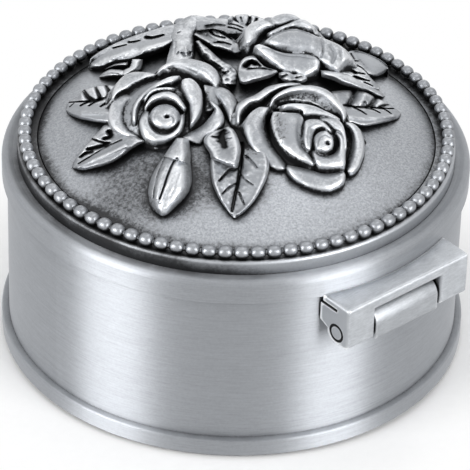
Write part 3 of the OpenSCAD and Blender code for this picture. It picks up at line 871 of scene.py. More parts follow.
def left_rose():
    r = Relief(LEFT, -9.6, 10.8, -8.6, 10.2)
    r.bed(0, -1, [0, 2.4, 4, 6, 7.6], [-0.7, -0.7, -0.7, -2.0, -3.6])
    r.petal([(1.9, -1.4), (1.7, -3), (0.6, -4.3), (-1, -4.1), (-1.9, -2.9), (-2.2, -1.2)],
            [(2.7, -1.2), (2.6, -3), (2.0, -4.7), (0.2, -6.0), (-1.5, -6.3), (-2.8, -5.6), (-3.5, -4),
             (-3.6, -2.4), (-2.9, -0.8)],
            -0.3, 0.95, -0.5, at=0.32, ends=4, seed=4)
    r.petal([(-3.2, -5.6), (-1.6, -6.2), (0, -6.1), (2, -5)],
            [(-3.3, -6.2), (-1.6, -7.3), (0.2, -7.4), (2.2, -6)],
            -0.5, -0.6, -1.3, at=0.2, wave=0.12)
    r.petal([(-2.8, -0.9), (-2, 0.2), (-0.7, 0.8), (0.6, 0.7), (1.6, -0.1), (2.4, -1.0)],
            [(-3.1, -0.6), (-2.2, 1.2), (-1, 2.0), (0.3, 2.2), (1.5, 1.6), (2.3, 0.5), (2.9, -0.5)],
            0.0, 1.2, 0.2, at=0.5, ends=3, seed=5)
    r.petal([(-2.9, 0.3), (-2, 1.8), (-0.5, 2.4), (1, 2.5)],
            [(-3.3, 0.7), (-2.1, 2.4), (-0.3, 2.85), (1.2, 2.8)],
            0.1, 0.8, 0.0, ends=3)
    r.petal([(-3.9, -3.4), (-3.9, -1.3), (-3.2, 0.6), (-2, 2), (-0.5, 2.9), (1, 3.3)],
            [(-4.7, -3.0), (-4.6, -0.5), (-3.7, 1.4), (-2.5, 2.7), (-0.8, 4.0), (0.5, 4.7), (1.8, 4.9)],
            -0.5, 0.3, -1.0, at=0.6, ends=3, strokes=[([(-4.1, -1), (-3.4, 0.9), (-1.8, 2.4), (0.4, 3.7)],
                0.1, 0.1, -0.22)])
    r.petal([(2.0, 4.1), (1.9, 3.2), (2.5, 1.5), (3.1, 0), (3.3, -1.7), (3.3, -3.2)],
            [(2.4, 4.4), (3.3, 4.4), (4.3, 3.5), (4.9, 2), (5.0, 0), (4.7, -1.6), (4.0, -2.8), (3.4, -3.4)],
            0.1, 1.0, -0.7, at=0.5, ends=4, seed=6)
    r.petal([(-1, 5), (0.2, 6), (1.6, 5.5), (3.2, 4.9), (4.9, 4), (5.9, 3.2), (6.5, 2.9)],
            [(-1.7, 5.0), (-0.9, 6.3), (0.7, 7.3), (2.7, 7.7), (4.8, 7.3), (6.3, 6.4), (7.1, 5), (7.2, 3.7),
             (6.8, 2.8)],
            -2.5, -1.3, -3.6, at=0.62, ends=5, seed=7,
            strokes=[([(-0.8, 5.2), (0.4, 6.4), (2, 6.3), (4, 5.3)], 0.12, 0.1, -0.25)])
    r.petal([(-7.4, 0.5), (-6.6, 1.5), (-5.2, 2.1), (-4, 3), (-2.8, 3.9), (-1.6, 4.7)],
            [(-7.8, 0.4), (-7.6, 2), (-7, 3.6), (-6, 4.8), (-4.6, 5.3), (-3, 5.3), (-1.6, 5.0)],
            -2.9, -1.9, -4.0, at=0.5, ends=5, seed=8, stain_and_painted_light=(0.7, 0.45, 0.3, 0.2, 0.2))
    r.petal([(-4.6, 0.5), (-5.1, 0.2), (-5.4, -1), (-5.3, -2.6), (-4.7, -3.7), (-3.9, -4.2), (-3.2, -4.6)],
            [(-4.2, 1.3), (-5.2, 1.6), (-6.3, 1.5), (-7.3, 0.7), (-7.9, -0.7), (-8.1, -2.4), (-7.7, -4),
             (-6.6, -5.1), (-4.4, -6.0), (-3.1, -5.6)],
            -2.4, -1.5, -3.2, at=0.5, ends=4, seed=9, top_along=[-1.7, -1.6, -1.5, -1.3, -1.1, -0.9],
            stain_and_painted_light=(0.9, 0.4, 0.1, 0.1, 0.2))
    r.petal([(2.2, -4.9), (3.6, -4), (5, -3), (6, -1.6), (6.6, -0.4), (5.8, 0.6)],
            [(2.1, -5.2), (3.2, -6.0), (5.0, -6.6), (5.9, -5.2), (7.1, -4.3), (8, -2.8), (7.9, -1.3),
             (7.1, 0.1), (6.0, 1.1)],
            -0.6, 0.25, -1.3, at=0.45, ends=4, seed=10)
    r.petal([(5.8, 2.6), (6.4, 1.4), (7.2, 0), (7.9, -1.2), (8.5, -2.8)],
            [(6.2, 3.0), (7.3, 3.2), (8.5, 2.7), (9.5, 1.4), (9.8, 0), (9.7, -1.5), (9.3, -2.8)],
            -2.2, -1.0, -3.2, at=0.5, ends=4, seed=11)
    r.petal([(5.0, 3.5), (5.2, 2), (5.3, 0.5), (5.1, -1.2)],
            [(6.8, 3.2), (7.0, 1.6), (7.3, 0.4), (7.0, -0.8)],
            -1.0, -0.8, -1.6, at=0.5, ends=5, stain_and_painted_light=(0.7, 0.3, 0.3))
    r.knob(-0.15, -1.95, 2.12, 1.75, 0.1)
    r.carve([([(0.05, -1.75), (0.6, -1.55), (1.1, -2.0), (1.05, -2.8), (0.5, -3.35), (-0.3, -3.55)], 0.13,
              0.08, -0.30),
             ([(0.12, -1.72), (0.3, -1.75)], 0.27, 0.2, -0.8),
             ([(-1.3, -3.0), (-1.6, -2.0), (-1.2, -1.0)], 0.10, 0.07, -0.10)])
    return r.finish("bloom_left")


def right_rose():
    r = Relief(RIGHT, -11.6, 9.4, -11.2, 10.6)
    r.bed(0.4, -1.6, [0, 3, 5, 6.4, 7.4], [0.2, 0.0, -1.6, -2.6, -3.6])
    r.petal([(0.7, -2.8), (0.7, -1.2), (1.3, -0.3), (2.2, 0.05)],
            [(1.3, -3.2), (2.2, -3.4), (3.2, -2.9), (3.4, -1.6), (3, -0.6), (2.3, 0.0)],
            0.9, 1.75, 0.8, at=0.5, ends=4)
    r.petal([(0.5, -3), (0.5, -1.5), (0.9, 0), (1.8, 0.4), (2.8, -0.2)],
            [(0.1, -3.8), (-0.6, -2.8), (-0.85, -1.5), (-0.75, 0), (-0.5, 1.4), (0.6, 1.8), (1.6, 1.7),
             (2.6, 0.9), (3.3, -0.2)],
            0.8, 1.35, 0.3, at=0.6, ends=3, seed=12)
    r.petal([(0.6, -3.0), (1.8, -3.7), (3.2, -3.7), (4, -2.7), (4.1, -1.2), (3.5, -0.1)],
            [(0.2, -3.5), (0.7, -5.2), (1.4, -6.2), (2.6, -6.3), (3.9, -6.1), (5.0, -5.6), (5.1, -4),
             (5.05, -2), (4.7, -0.5), (3.7, 0.2)],
            0.2, 1.05, -0.3, at=0.35, ends=3, seed=13)
    r.petal([(1.6, 1.6), (2.6, 0.9), (3.3, 0.1), (4.2, -0.2), (4.7, -1), (5, -3)],
            [(1.3, 2.0), (2.5, 2.3), (3.9, 2.1), (4.7, 1.2), (5.0, 0), (5.2, -1.5), (5.2, -3.1)],
            0.1, 0.85, -0.3, ends=3, seed=14)
    r.petal([(-3.9, 3.2), (-2, 3.1), (-1, 2.6), (-0.8, 2), (0.5, 2.1), (2, 2.2), (3.9, 2)],
            [(-4, 3.5), (-2.8, 4), (-1, 4.2), (0.6, 4.0), (2, 3.4), (3.3, 2.8), (4.4, 2.1)],
            -0.3, 0.55, -0.5, ends=3, seed=15)
    r.petal([(-1.3, 2.6), (-0.8, 1.9), (-0.8, 1.2), (-0.95, 0), (-0.95, -1.5), (-0.75, -2.7), (0, -3.9),
             (0.8, -5.2)],
            [(-5, 2.6), (-5.3, 1), (-5.0, -1), (-4.3, -2.9), (-3, -4.4), (-1.5, -5.3), (0.2, -6.0),
             (1, -6.1)],
            0.35, 0.95, -0.7, at=0.36, ends=5, seed=16, stain_and_painted_light=(0, 0, 0.3, 0.7, 0.9),
            strokes=[([(-1.3, 1.6), (-1.5, 0), (-1.45, -1.6), (-1.0, -3)], 0.3, 0.25, -0.14)])
    r.petal([(-5, 3.4), (-4, 4.2), (-2.5, 4.7), (-1, 4.75), (0.8, 4.3), (2.2, 3.5), (3.3, 2.9), (4.1, 2.3)],
            [(-5.5, 3.4), (-5.1, 4.7), (-4, 5.9), (-2.5, 6.8), (-0.5, 7.3), (1.5, 7.2), (3.1, 6.4),
             (4.3, 5.1), (5.1, 3.7), (5.2, 2.6), (4.9, 1.4)],
            -1.8, -0.6, -2.4, at=0.74, cup=True, ends=5, seed=17, stain_and_painted_light=(0.8, 0.55, 0.3, 0, 0, 0.2))
    r.petal([(-5.5, 2.8), (-5.9, 1), (-5.8, -0.5), (-5.2, -1.9), (-4.2, -3.4), (-3.2, -4.7), (-2.7, -5.5),
             (-2.8, -6.6)],
            [(-5.6, 3.2), (-7, 3.0), (-8.3, 1.7), (-8.9, 0), (-8.7, -1.8), (-8.1, -3.7), (-7.1, -5.0),
             (-6.0, -6.0), (-5.2, -7.0), (-3.2, -7.3)],
            -1.6, -0.4, -1.8, at=0.5, ends=5, seed=18, stain_and_painted_light=(0.6, 0.2, 0, 0, 0.2))
    r.petal([(-2.9, -5.9), (-1.5, -6.1), (0, -6.3), (1.8, -6.8), (3.5, -6.6), (4.9, -6.2)],
            [(-3.1, -7.2), (-1.9, -8.6), (-0.5, -9.4), (1.2, -10.0), (2.8, -10.0), (4.1, -9.3), (5.0, -8.3),
             (5.2, -7)],
            -0.4, 0.3, -1.1, at=0.4, ends=5, seed=19)
    r.petal([(5, 1.3), (5.8, 0), (6, -1.5), (5.7, -3.2), (5.3, -4.8), (5.1, -6)],
            [(5.0, 1.8), (6.2, 1.6), (7.1, 0.7), (7.7, -1), (7.8, -2.8), (7.4, -4.8), (6.7, -6.5),
             (5.9, -7.0), (5.2, -6.6)],
            -1.6, -0.7, -2.4, at=0.5, ends=5, seed=20)
    r.petal([(-9.2, -0.2), (-9.2, 1.5), (-8, 3.4), (-6.6, 3.9), (-6, 4.4), (-5, 5.5), (-3.8, 6.4), (-2, 6.9)],
            [(-10.1, 0), (-10.1, 2.8), (-9, 4.1), (-7.5, 5.1), (-6, 6.3), (-4.5, 7.1), (-3, 7.5),
             (-1.2, 7.6)],
            -3.0, -2.1, -4.2, at=0.55, ends=4, seed=21)
    r.carve([([(2.6, -1.75), (2.62, -1.8)], 0.30, 0.30, -0.8),
             ([(1.2, -2.5), (1.35, -1.3), (2.1, -0.6), (2.9, -0.9)], 0.10, 0.10, -0.2),
             ([(2.1, -2.9), (2.9, -2.4)], 0.1, 0.1, -0.15),
             ([(-0.1, -2.6), (-0.2, -1), (0.1, 0.6), (1.2, 1.1), (2.4, 0.6)], 0.10, 0.10, -0.16)])
    return r.finish("bloom_right")


def rear_rose():
    r = Relief(REAR, -9.4, 9.6, -6.0, 10.4, cell=0.06)
    r.bed(-1, 1, [0, 2.5, 4, 5.5], [-0.6, -0.8, -1.6, -3.0])
    r.petal([(-3.8, 5.2), (-2.5, 5.0), (-1.2, 5.3), (0, 6.1), (0.6, 6.3)],
            [(-3.9, 5.6), (-3.4, 6.7), (-2.6, 7.2), (-1.5, 7.5), (-0.3, 7.3), (0.7, 6.6)],
            -2.2, -1.4, -3.2, ends=4, seed=31)
    r.petal([(-6.4, 1.7), (-5.6, 2.6), (-5.2, 3.5), (-4.5, 4.3), (-3.6, 4.7), (-2.9, 4.9)],
            [(-7.3, 1.9), (-7.4, 3.1), (-7.2, 4.4), (-6.5, 5.5), (-5.4, 6.1), (-4.2, 6.1), (-3.2, 5.5)],
            -1.7, -0.8, -2.6, ends=4, seed=32)
    r.petal([(-3.8, 3.3), (-2, 4.4), (-0.5, 4.9), (0.8, 4.7), (1.5, 4.5), (2.2, 4.6)],
            [(-4.1, 3.9), (-2.5, 4.9), (-1, 5.7), (0.5, 6.5), (1.3, 6.4), (2, 5.9), (2.7, 5.1)],
            -0.9, -0.3, -1.6, ends=4, seed=33)
    r.petal([(-4.4, 2.3), (-3, 1.3), (-1.5, 0.8), (0, 0.5), (1.5, 0.5), (2.7, 0.2), (4.4, -0.9), (6.2, -2.0)],
            [(-4.4, 2.5), (-3.4, 3.5), (-2, 4.4), (-0.5, 4.9), (0.5, 4.8), (1.8, 4.3), (3.4, 3.5),
             (5.0, 2.9), (6.6, 1.9), (7.8, 0.2)],
            0.0, 1.0, -1.2, at=0.5, ends=5, seed=34, top_along=[0.4, 0.9, 1.1, 1.0, 0.7, 0.1, -0.4, -0.7])
    r.petal([(-6, 1.5), (-5.2, 2.0), (-4, 1.6), (-2.5, 0.9), (-1, 0.6), (0.5, 0.6), (1.8, 0.5), (2.8, 0.1),
             (3.4, -0.6)],
            [(-5.7, 1), (-5.0, 0.1), (-4, -1.0), (-3, -1.9), (-2, -2.7), (-1, -3.2), (0.1, -3.3),
             (1.2, -3.8), (2.3, -3.4), (3.2, -2.6), (3.6, -1)],
            0.2, 0.7, -1.0, at=0.42, ends=5, seed=35)
    r.carve([([(-5.6, 0.8), (-4.2, 1.4), (-2.6, 0.6), (-1, 0.15), (0.8, 0.1), (2.6, -0.3)], 0.09, 0.09,
              -0.12),
             ([(-4.2, 2.4), (-3, 3.5), (-1.4, 4.4), (0.6, 4.5), (2.2, 3.8)], 0.1, 0.1, -0.22),
             ([(3.7, 3.2), (3.9, 1.4), (3.6, 0)], 0.16, 0.12, -0.28),
             ([(5.0, 2.0), (5.6, 0.6), (5.2, -0.8)], 0.3, 0.2, -0.25),
             ([(6.4, 1.2), (6.6, -0.2)], 0.25, 0.2, -0.2),
             ([(4.4, 0.6), (4.7, 0.2)], 0.3, 0.3, 0.25), ([(5.9, -0.6), (6.1, -0.9)], 0.3, 0.3, 0.2),
             ([(-2, -1.2), (-0.6, -2.2)], 0.12, 0.1, -0.1)])
    return r.finish("bloom_rear")


def all_flowers():
    """The spray: roses, bud, stems and leaves, each in place of the solid of the same name."""
    made = [(left_rose(), "rose_left", "rose_pewter"),
            (right_rose(), "rose_right", "rose_pewter"),
            (rear_rose(), "rose_rear", "rose_pewter")]

    def add(node, slot, plane, left, right, body, **more):
        made.append((leaf(node + "_cast", plane, left, right, body, **more), node, slot))

    add("leaf_left", "leaf_pewter", WEST,
        [(0.6, 7.6), (-1.6, 7.7), (-3, 7.5), (-4.9, 6.6), (-5.4, 5.3), (-6.7, 4.3), (-7.2, 2.8)],
        [(0.4, -0.3), (-1.1, -0.2), (-3, 0.1), (-5, 0.6), (-6.4, 1.3), (-7.1, 2.2)],
        [[1.2, 1.4, 1.0, 1.9, 1.6], [1.1, 1.3, 0.9, 1.8, 1.4], [0.8, 1.0, 0.8, 1.4, 1.0],
         [0.5, 0.5, 0.5, 0.6, 0.5]],
        edge=0.8, seed=41, strokes=[
            ([(-6.8, 3.9), (-5, 4.15), (-3.5, 4.3), (-2, 4.8), (-0.6, 5.1)], 0.12, 0.24, -0.55),
            ([(-3.5, 4.5), (-4.2, 5.2), (-4.8, 6.3)], 0.42, 0.28, -0.95),
            ([(-2.3, 4.9), (-2.6, 5.8), (-3.2, 7.3)], 0.30, 0.18, -0.85),
            ([(-0.95, 5.1), (-1.1, 6.2), (-1.6, 7.4)], 0.40, 0.22, -0.95),
            ([(-3.7, 4.1), (-4.4, 3.8), (-5, 3.3)], 0.2, 0.12, -0.6),
            ([(-2.1, 4.6), (-3, 4.1), (-3.8, 3.3)], 0.22, 0.12, -0.7),
            ([(-0.8, 4.5), (-1.4, 3.9), (-2.1, 3.2)], 0.22, 0.12, -0.7),
            ([(-6, 3.8), (-6.6, 3)], 0.1, 0.08, -0.25),
            ([(-0.8, 2.0), (-3, 1.9), (-4.6, 1.9)], 0.5, 0.4, 0.2)])
    add("leaf_left_low", "leaf_pewter", WEST,
        [(0.9, -1.0), (-1.2, -0.3), (-2.1, -1.5), (-3.0, -2.9), (-3.2, -3.6), (-4.2, -5.1), (-4.4, -5.7),
         (-5.1, -7.2), (-5.5, -8.8)],
        [(4.8, -3.4), (3.6, -4.3), (2.6, -5.2), (1.6, -6.4), (0, -7.9), (-2, -8.9), (-3.9, -9.5),
         (-5.3, -9.2)],
        [[1.4, 1.4, 1.2, 1.9, 1.6], [1.1, 1.1, 0.9, 1.6, 1.3], [0.9, 0.9, 0.8, 1.4, 1.1],
         [0.5, 0.5, 0.5, 0.7, 0.5]],
        edge=0.8, seed=42, strokes=[
            ([(1.2, -3.3), (-0.5, -4.5), (-1.6, -5.4), (-3, -6.7), (-4.6, -8.2)], 0.14, 0.1, -0.45),
            ([(-0.6, -1.8), (-0.35, -2.7), (-1.2, -3.2)], 0.40, 0.3, -1.0),
            ([(-2.9, -3.3), (-1.7, -3.8), (-0.6, -4.0)], 0.16, 0.26, -0.8),
            ([(-3.4, -5.3), (-2.3, -5.0), (-1.0, -4.4)], 0.3, 0.42, -1.0),
            ([(-4.4, -6.9), (-3.7, -6.2), (-2.9, -5.8)], 0.22, 0.34, -0.9),
            ([(1.8, -4.4), (-0.5, -6.0), (-3, -7.6), (-4.6, -8.8)], 0.4, 0.3, 0.4)])
    add("rose_bud", "rose_pewter", FRONT,
        [(-4.6, 3.6), (-5.4, 2.4), (-6.4, 0.4), (-7.1, -1.6), (-7.4, -4), (-7.1, -6), (-6.6, -7.1),
         (-5.6, -8.05)],
        [(-2.4, 3.4), (-1.8, 2.2), (-1.45, 0.3), (-1.3, -2), (-1.6, -3.6), (-2.3, -5), (-3.3, -6.4),
         (-4.3, -7.7), (-4.9, -8.1)],
        [[1.6, 2.4, 2.8, 2.4, 1.6], [1.8, 2.8, 3.4, 2.9, 1.8], [1.7, 2.8, 3.3, 2.8, 1.7],
         [1.2, 2.0, 2.3, 2.0, 1.2], [0.7, 0.9, 1.0, 0.9, 0.7]],
        edge=1.5, seed=43, stain_and_painted_light=(0.35, 0.1, -0.3, -0.5, 0.1), strokes=[
            ([(-3.6, 2.2), (-4.2, 0.6), (-4.75, -1.4), (-5.15, -3.4), (-5.6, -5.1)], 0.17, 0.10, -0.60),
            ([(-5.2, 2.2), (-5.9, -0.3), (-6.3, -2.8), (-6.5, -5)], 0.12, 0.09, -0.40),
            ([(-4.9, 0.8), (-5.6, -2), (-6.0, -5)], 0.3, 0.2, 0.16),
            ([(-4.0, -0.8), (-4.9, -3.2), (-5.6, -5.8)], 0.18, 0.12, 0.18),
            ([(-4.4, -0.4), (-4.9, -2.2), (-5.3, -3.6)], 0.07, 0.05, -0.12),
            ([(-3.0, -0.6), (-3.5, -2.6), (-4.2, -4.6)], 0.12, 0.12, -0.08)])
    add("bud_calyx", "leaf_pewter", FRONT,
        [(-3.8, 5.8), (-4.5, 4.4), (-5.1, 3.2), (-5.5, 2.3)],
        [(-2.0, 5.8), (-1.75, 4), (-1.55, 2.5), (-1.65, 0.9)],
        [[2.2, 3.0, 3.2, 3.0, 2.2], [2.3, 3.3, 3.7, 3.4, 2.3], [2.3, 3.4, 3.9, 3.6, 2.3],
         [2.1, 3.3, 3.8, 3.5, 2.1]],
        edge=1.3, close=(0.0, 0.35), seed=44, strokes=[
            ([(-3.4, 1.3), (-3.5, 2.1)], 0.30, 0.2, -0.8), ([(-4.2, 4.6), (-4.7, 3.0)], 0.14, 0.1, -0.12)])
    add("leaf_front", "leaf_pewter", FRONT,
        [(2.6, 7.4), (1.6, 5.4), (1.1, 3.2), (0.95, 1.6), (1.0, 0), (1.3, -2), (2, -4), (3, -6),
         (4.3, -8.05)],
        [(6.4, 8.2), (8.0, 5.8), (8.9, 3.4), (9.15, 1.2), (8.85, -0.9), (8.1, -3), (7.2, -5), (6, -6.8),
         (4.7, -8.15)],
        [[0.4, 0.4, 0.3, 0.4, 0.4], [0.9, 0.9, 0.6, 0.9, 1.0], [1.3, 1.4, 1.1, 1.4, 1.5],
         [1.4, 1.5, 1.2, 1.6, 1.7], [1.3, 1.4, 1.1, 1.5, 1.5], [1.0, 1.1, 0.8, 1.1, 1.1],
         [0.6, 0.6, 0.6, 0.6, 0.6]],
        edge=0.65, seed=45, grain=0.03, foot=(2.0, 0.36), strokes=[
            ([(5.2, 5.0), (5.15, 2.0), (5.0, -0.8), (4.8, -2.4), (4.5, -4.2), (4.15, -6.9)], 0.30, 0.13,
             -0.85),
            ([(5.1, 2.0), (4.8, -2.4), (4.2, -6.4)], 0.9, 0.35, -0.30),
            ([(4.8, 0.55), (3.7, 0.2), (3.0, -0.7), (2.4, -1.6)], 0.32, 0.16, -0.55),
            ([(4.5, -2.2), (3.6, -2.9), (2.8, -3.9)], 0.22, 0.12, -0.36),
            ([(5.1, -0.4), (5.9, -1.4), (6.9, -2.2)], 0.20, 0.12, -0.28),
            ([(5.8, 2.8), (6.6, 1.9), (7.4, 0.9)], 0.28, 0.14, -0.40),
            ([(5.0, -3.7), (5.4, -4.6), (5.8, -5.7)], 0.20, 0.12, -0.36),
            ([(1.7, -2), (2.8, -5.2), (3.9, -7.2)], 0.36, 0.28, 0.30),
            ([(8.5, -0.5), (7.5, -3.6), (6.3, -5.8), (5.0, -7.3)], 0.45, 0.35, 0.34),
            ([(3.9, -0.9), (2.9, -2.4)], 0.55, 0.45, 0.22), ([(3.9, -3.6), (3.4, -5.2)], 0.45, 0.35, 0.16),
            ([(6.2, -0.2), (6.9, 0.9)], 0.6, 0.5, 0.20), ([(5.8, -2.6), (6.4, -4.0)], 0.45, 0.4, 0.18),
            ([(7.6, -0.4), (7.3, -1.9)], 0.5, 0.4, 0.12), ([(2.2, 0.9), (3.4, 1.6)], 0.5, 0.5, 0.14)])
    add("leaf_front_curled", "leaf_pewter", FRONT,
        [(0.8, 7.0), (0.0, 5.8), (0.1, 4.5), (0.8, 3.2), (1.1, 2.2), (2.2, 1.6), (3.3, 0.9), (4.2, 0.6)],
        [(3.3, 8.1), (4.2, 7.4), (4.9, 5.7), (5.2, 4), (5.1, 2.5), (4.95, 1.4), (4.8, 0.6)],
        [[1.8, 1.5, 1.4, 2.2, 2.4], [2.5, 2.4, 1.2, 2.3, 3.0], [2.7, 2.8, 1.8, 2.8, 3.1],
         [2.6, 3.1, 3.2, 3.3, 2.9], [1.8, 2.3, 2.5, 2.4, 2.0]],
        edge=0.8, seed=46, grain=0.04, strokes=[
            ([(2.7, 7.2), (2.5, 6.0), (2.9, 4.4)], 0.55, 0.34, -1.7),
            ([(1.2, 6.15), (2.2, 5.9)], 0.14, 0.26, -0.7), ([(2.0, 5.3), (2.9, 5.0)], 0.16, 0.2, -0.7),
            ([(3.0, 6.6), (3.5, 7.0)], 0.12, 0.1, -0.4), ([(3.2, 5.8), (3.8, 6.0)], 0.12, 0.1, -0.35),
            ([(1.5, 3.0), (2.6, 2.2), (3.8, 1.6)], 0.45, 0.4, 0.25)])
    add("leaf_right", "leaf_pewter", EAST,
        [(-4.4, -1.2), (-2.6, -0.8), (-1, -0.8), (0.4, -1), (1.9, -2), (3.6, -3.2), (4.8, -4.2), (5.5, -5.0)],
        [(-3.4, -8.3), (-1.8, -7.7), (0, -8.15), (2, -7.65), (4, -6.95), (5.2, -6.3), (5.6, -5.4)],
        [[1.3, 1.3, 1.0, 1.3, 1.7], [1.2, 1.2, 0.9, 1.2, 1.6], [1.0, 1.1, 0.8, 1.1, 1.3],
         [0.7, 0.8, 0.7, 0.9, 0.9], [0.5, 0.5, 0.5, 0.5, 0.5]],
        edge=0.7, seed=47, strokes=[
            ([(-2.6, -4.0), (-1, -4.25), (1, -4.3), (2.8, -4.3), (4.5, -4.35)], 0.18, 0.12, -0.5),
            ([(-1.2, -1.1), (-1.4, -2.5), (-2, -4)], 0.45, 0.45, -0.75),
            ([(2.0, -2.2), (1.6, -3.1), (1.1, -4.1)], 0.40, 0.48, -0.75),
            ([(0.3, -3.3), (0.4, -4.1)], 0.3, 0.35, -0.45), ([(0.4, -1.6), (-0.2, -3.4)], 0.5, 0.5, 0.35),
            ([(2.9, -3.0), (2.2, -3.9)], 0.4, 0.4, 0.3),
            ([(3.8, -3.6), (3.2, -3.8), (2.5, -4.1)], 0.22, 0.3, -0.5),
            ([(-1.2, -4.4), (-0.3, -5), (0.5, -5.7)], 0.15, 0.08, -0.5),
            ([(0.6, -4.4), (1.6, -4.7), (2.5, -5.3)], 0.15, 0.08, -0.5),
            ([(2.6, -4.3), (3.4, -4.7), (4.1, -5.4)], 0.15, 0.08, -0.5),
            ([(-2, -6.3), (0, -6.5), (2.2, -6.3), (4.3, -5.8)], 0.5, 0.4, 0.42)])
    add("leaf_right_folded", "leaf_pewter", EAST,
        [(-6.0, 3.2), (-4, 3.1), (-2, 2.6), (-1, 1.9), (0, 1.1), (1.5, 0.1), (2.8, -0.9), (3.4, -1.8)],
        [(-5.8, 1.6), (-4.2, 1.0), (-3, 0.2), (-1.6, -0.4), (-0.6, -0.9), (0.8, -1.25), (1.9, -1.85),
         (3.0, -2.2)],
        [[2.4, 2.9, 3.1, 2.8, 2.2], [2.2, 2.7, 3.0, 2.6, 1.9], [1.7, 2.1, 2.4, 2.0, 1.5],
         [1.0, 1.2, 1.4, 1.2, 1.0], [0.6, 0.6, 0.6, 0.6, 0.6]],
        edge=0.9, seed=48, grain=0.02, strokes=[([(-5.4, 0.9), (-4.6, 0.4)], 0.5, 0.4, 0.8)])
    add("leaf_right_veined", "leaf_pewter", EAST,
        [(-3.6, 5.0), (-1.7, 4.6), (-0.2, 4.4), (0.9, 3.3), (1.4, 2.1), (2.1, 1.0), (2.7, 0.0)],
        [(-3.6, 2.6), (-1.7, 1.8), (-0.2, 0.6), (1.4, -0.4), (2.5, -0.7)],
        [[1.4, 1.5, 1.3], [1.3, 1.4, 1.2], [1.1, 1.1, 1.0], [0.6, 0.6, 0.6]],
        edge=0.6, seed=49, strokes=[
            ([(-2.9, 3.3), (-1.7, 3.3), (-0.9, 2.8)], 0.34, 0.25, -0.95),
            ([(-0.8, 2.85), (0.5, 2.65)], 0.18, 0.1, -0.65),
            ([(-0.9, 1.9), (0.1, 1.5), (1.1, 1.25)], 0.30, 0.1, -0.85),
            ([(0.4, 0.9), (1.6, 0.2)], 0.14, 0.08, -0.5), ([(-2.5, 4.1), (-1.1, 4.1)], 0.2, 0.1, -0.5)])
    add("leaf_right_far", "leaf_pewter", EAST,
        [(-2.4, 5.2), (-1.8, 7.1), (-0.4, 7.6), (1.2, 6.9), (2.6, 6.0), (3.6, 5.0), (4.0, 4.1)],
        [(-2.2, 4.2), (-0.8, 4.4), (0.3, 3.6), (1.1, 2.4), (2.2, 2.2), (3.3, 2.8), (3.95, 3.6)],
        [[1.1, 1.1, 0.9, 1.2, 1.3], [1.1, 1.1, 0.9, 1.3, 1.3], [0.8, 0.9, 0.8, 1.1, 1.0],
         [0.4, 0.4, 0.4, 0.4, 0.4]],
        edge=0.6, seed=50, back=True, marked=0.9, stain_and_painted_light=(-0.1, 0.2, -0.1), strokes=[
            ([(-2.0, 5.35), (-0.4, 5.35), (1.2, 5.3), (2.4, 4.9)], 0.15, 0.1, -0.5),
            ([(-1.3, 6.9), (-0.9, 5.8)], 0.14, 0.12, -0.35), ([(0.4, 6.6), (0.9, 5.6)], 0.12, 0.1, -0.28),
            ([(1.0, 3.0), (2.2, 3.1), (3.2, 3.5)], 0.4, 0.3, 0.18)])
    add("leaf_centre_curled", "leaf_pewter", REAR,
        [(-8.1, -3.6), (-8.0, -1.6), (-7.2, -0.3), (-5.9, 0.1), (-5.1, -0.9), (-4.2, -1.8), (-2.5, -2.3)],
        [(-7.8, -4.8), (-7.0, -5.1), (-5.6, -4.6), (-4.2, -4.1), (-3.2, -3.6), (-2.4, -2.9)],
        [[1.6, 1.6, 1.9, 2.2, 1.8], [2.4, 1.7, 2.0, 2.7, 2.1], [2.6, 1.5, 2.1, 2.8, 2.2],
         [2.0, 1.8, 2.2, 2.5, 2.0], [1.4, 1.6, 1.8, 1.8, 1.4]],
        edge=0.7, seed=51, grain=0.03, strokes=[
            ([(-7.0, -1.9), (-6.3, -1.2), (-5.7, -1.5)], 0.36, 0.3, -1.6),
            ([(-6.7, -2.4), (-5, -2.2), (-3.4, -2.4)], 0.18, 0.16, -0.8),
            ([(-5.5, -1.3), (-5.0, -1.8)], 0.2, 0.2, -0.8)])
    add("leaf_back_long", "leaf_pewter", BACK,
        [(1.5, 4.1), (0.2, 3.9), (-2, 3.25), (-4, 2.55), (-6, 1.7), (-8, 0.7), (-9.4, -0.5), (-10.6, -1.9)],
        [(1.2, 2.6), (0.4, 1.5), (-1.2, 0.5), (-2.6, -0.1), (-4, -0.9), (-5.5, -1.3), (-7, -1.75),
         (-8.6, -2.45), (-10.4, -2.35)],
        [[1.9, 2.0, 2.1, 1.9, 1.1], [2.3, 2.2, 2.3, 2.0, 1.1], [2.4, 2.2, 2.1, 1.8, 1.0],
         [2.2, 2.0, 1.8, 1.4, 0.8], [1.4, 1.3, 1.2, 0.9, 0.5]],
        edge=0.9, close=(0.0, 1.2), seed=52, back=True, stain_and_painted_light=(0.1, 0.0, -0.5, -0.5, 0.7, 1.5), marked=0.5,
        grain=0.02, strokes=[
            ([(0.8, 3.0), (-1.0, 2.3), (-2.6, 1.5)], 0.55, 0.5, 0.35),
            ([(-4.3, 1.2), (-5.6, 0.7), (-6.9, -0.2)], 0.6, 0.5, 0.35),
            ([(-2.9, 1.7), (-3.9, 1.2)], 0.4, 0.4, -0.2)])
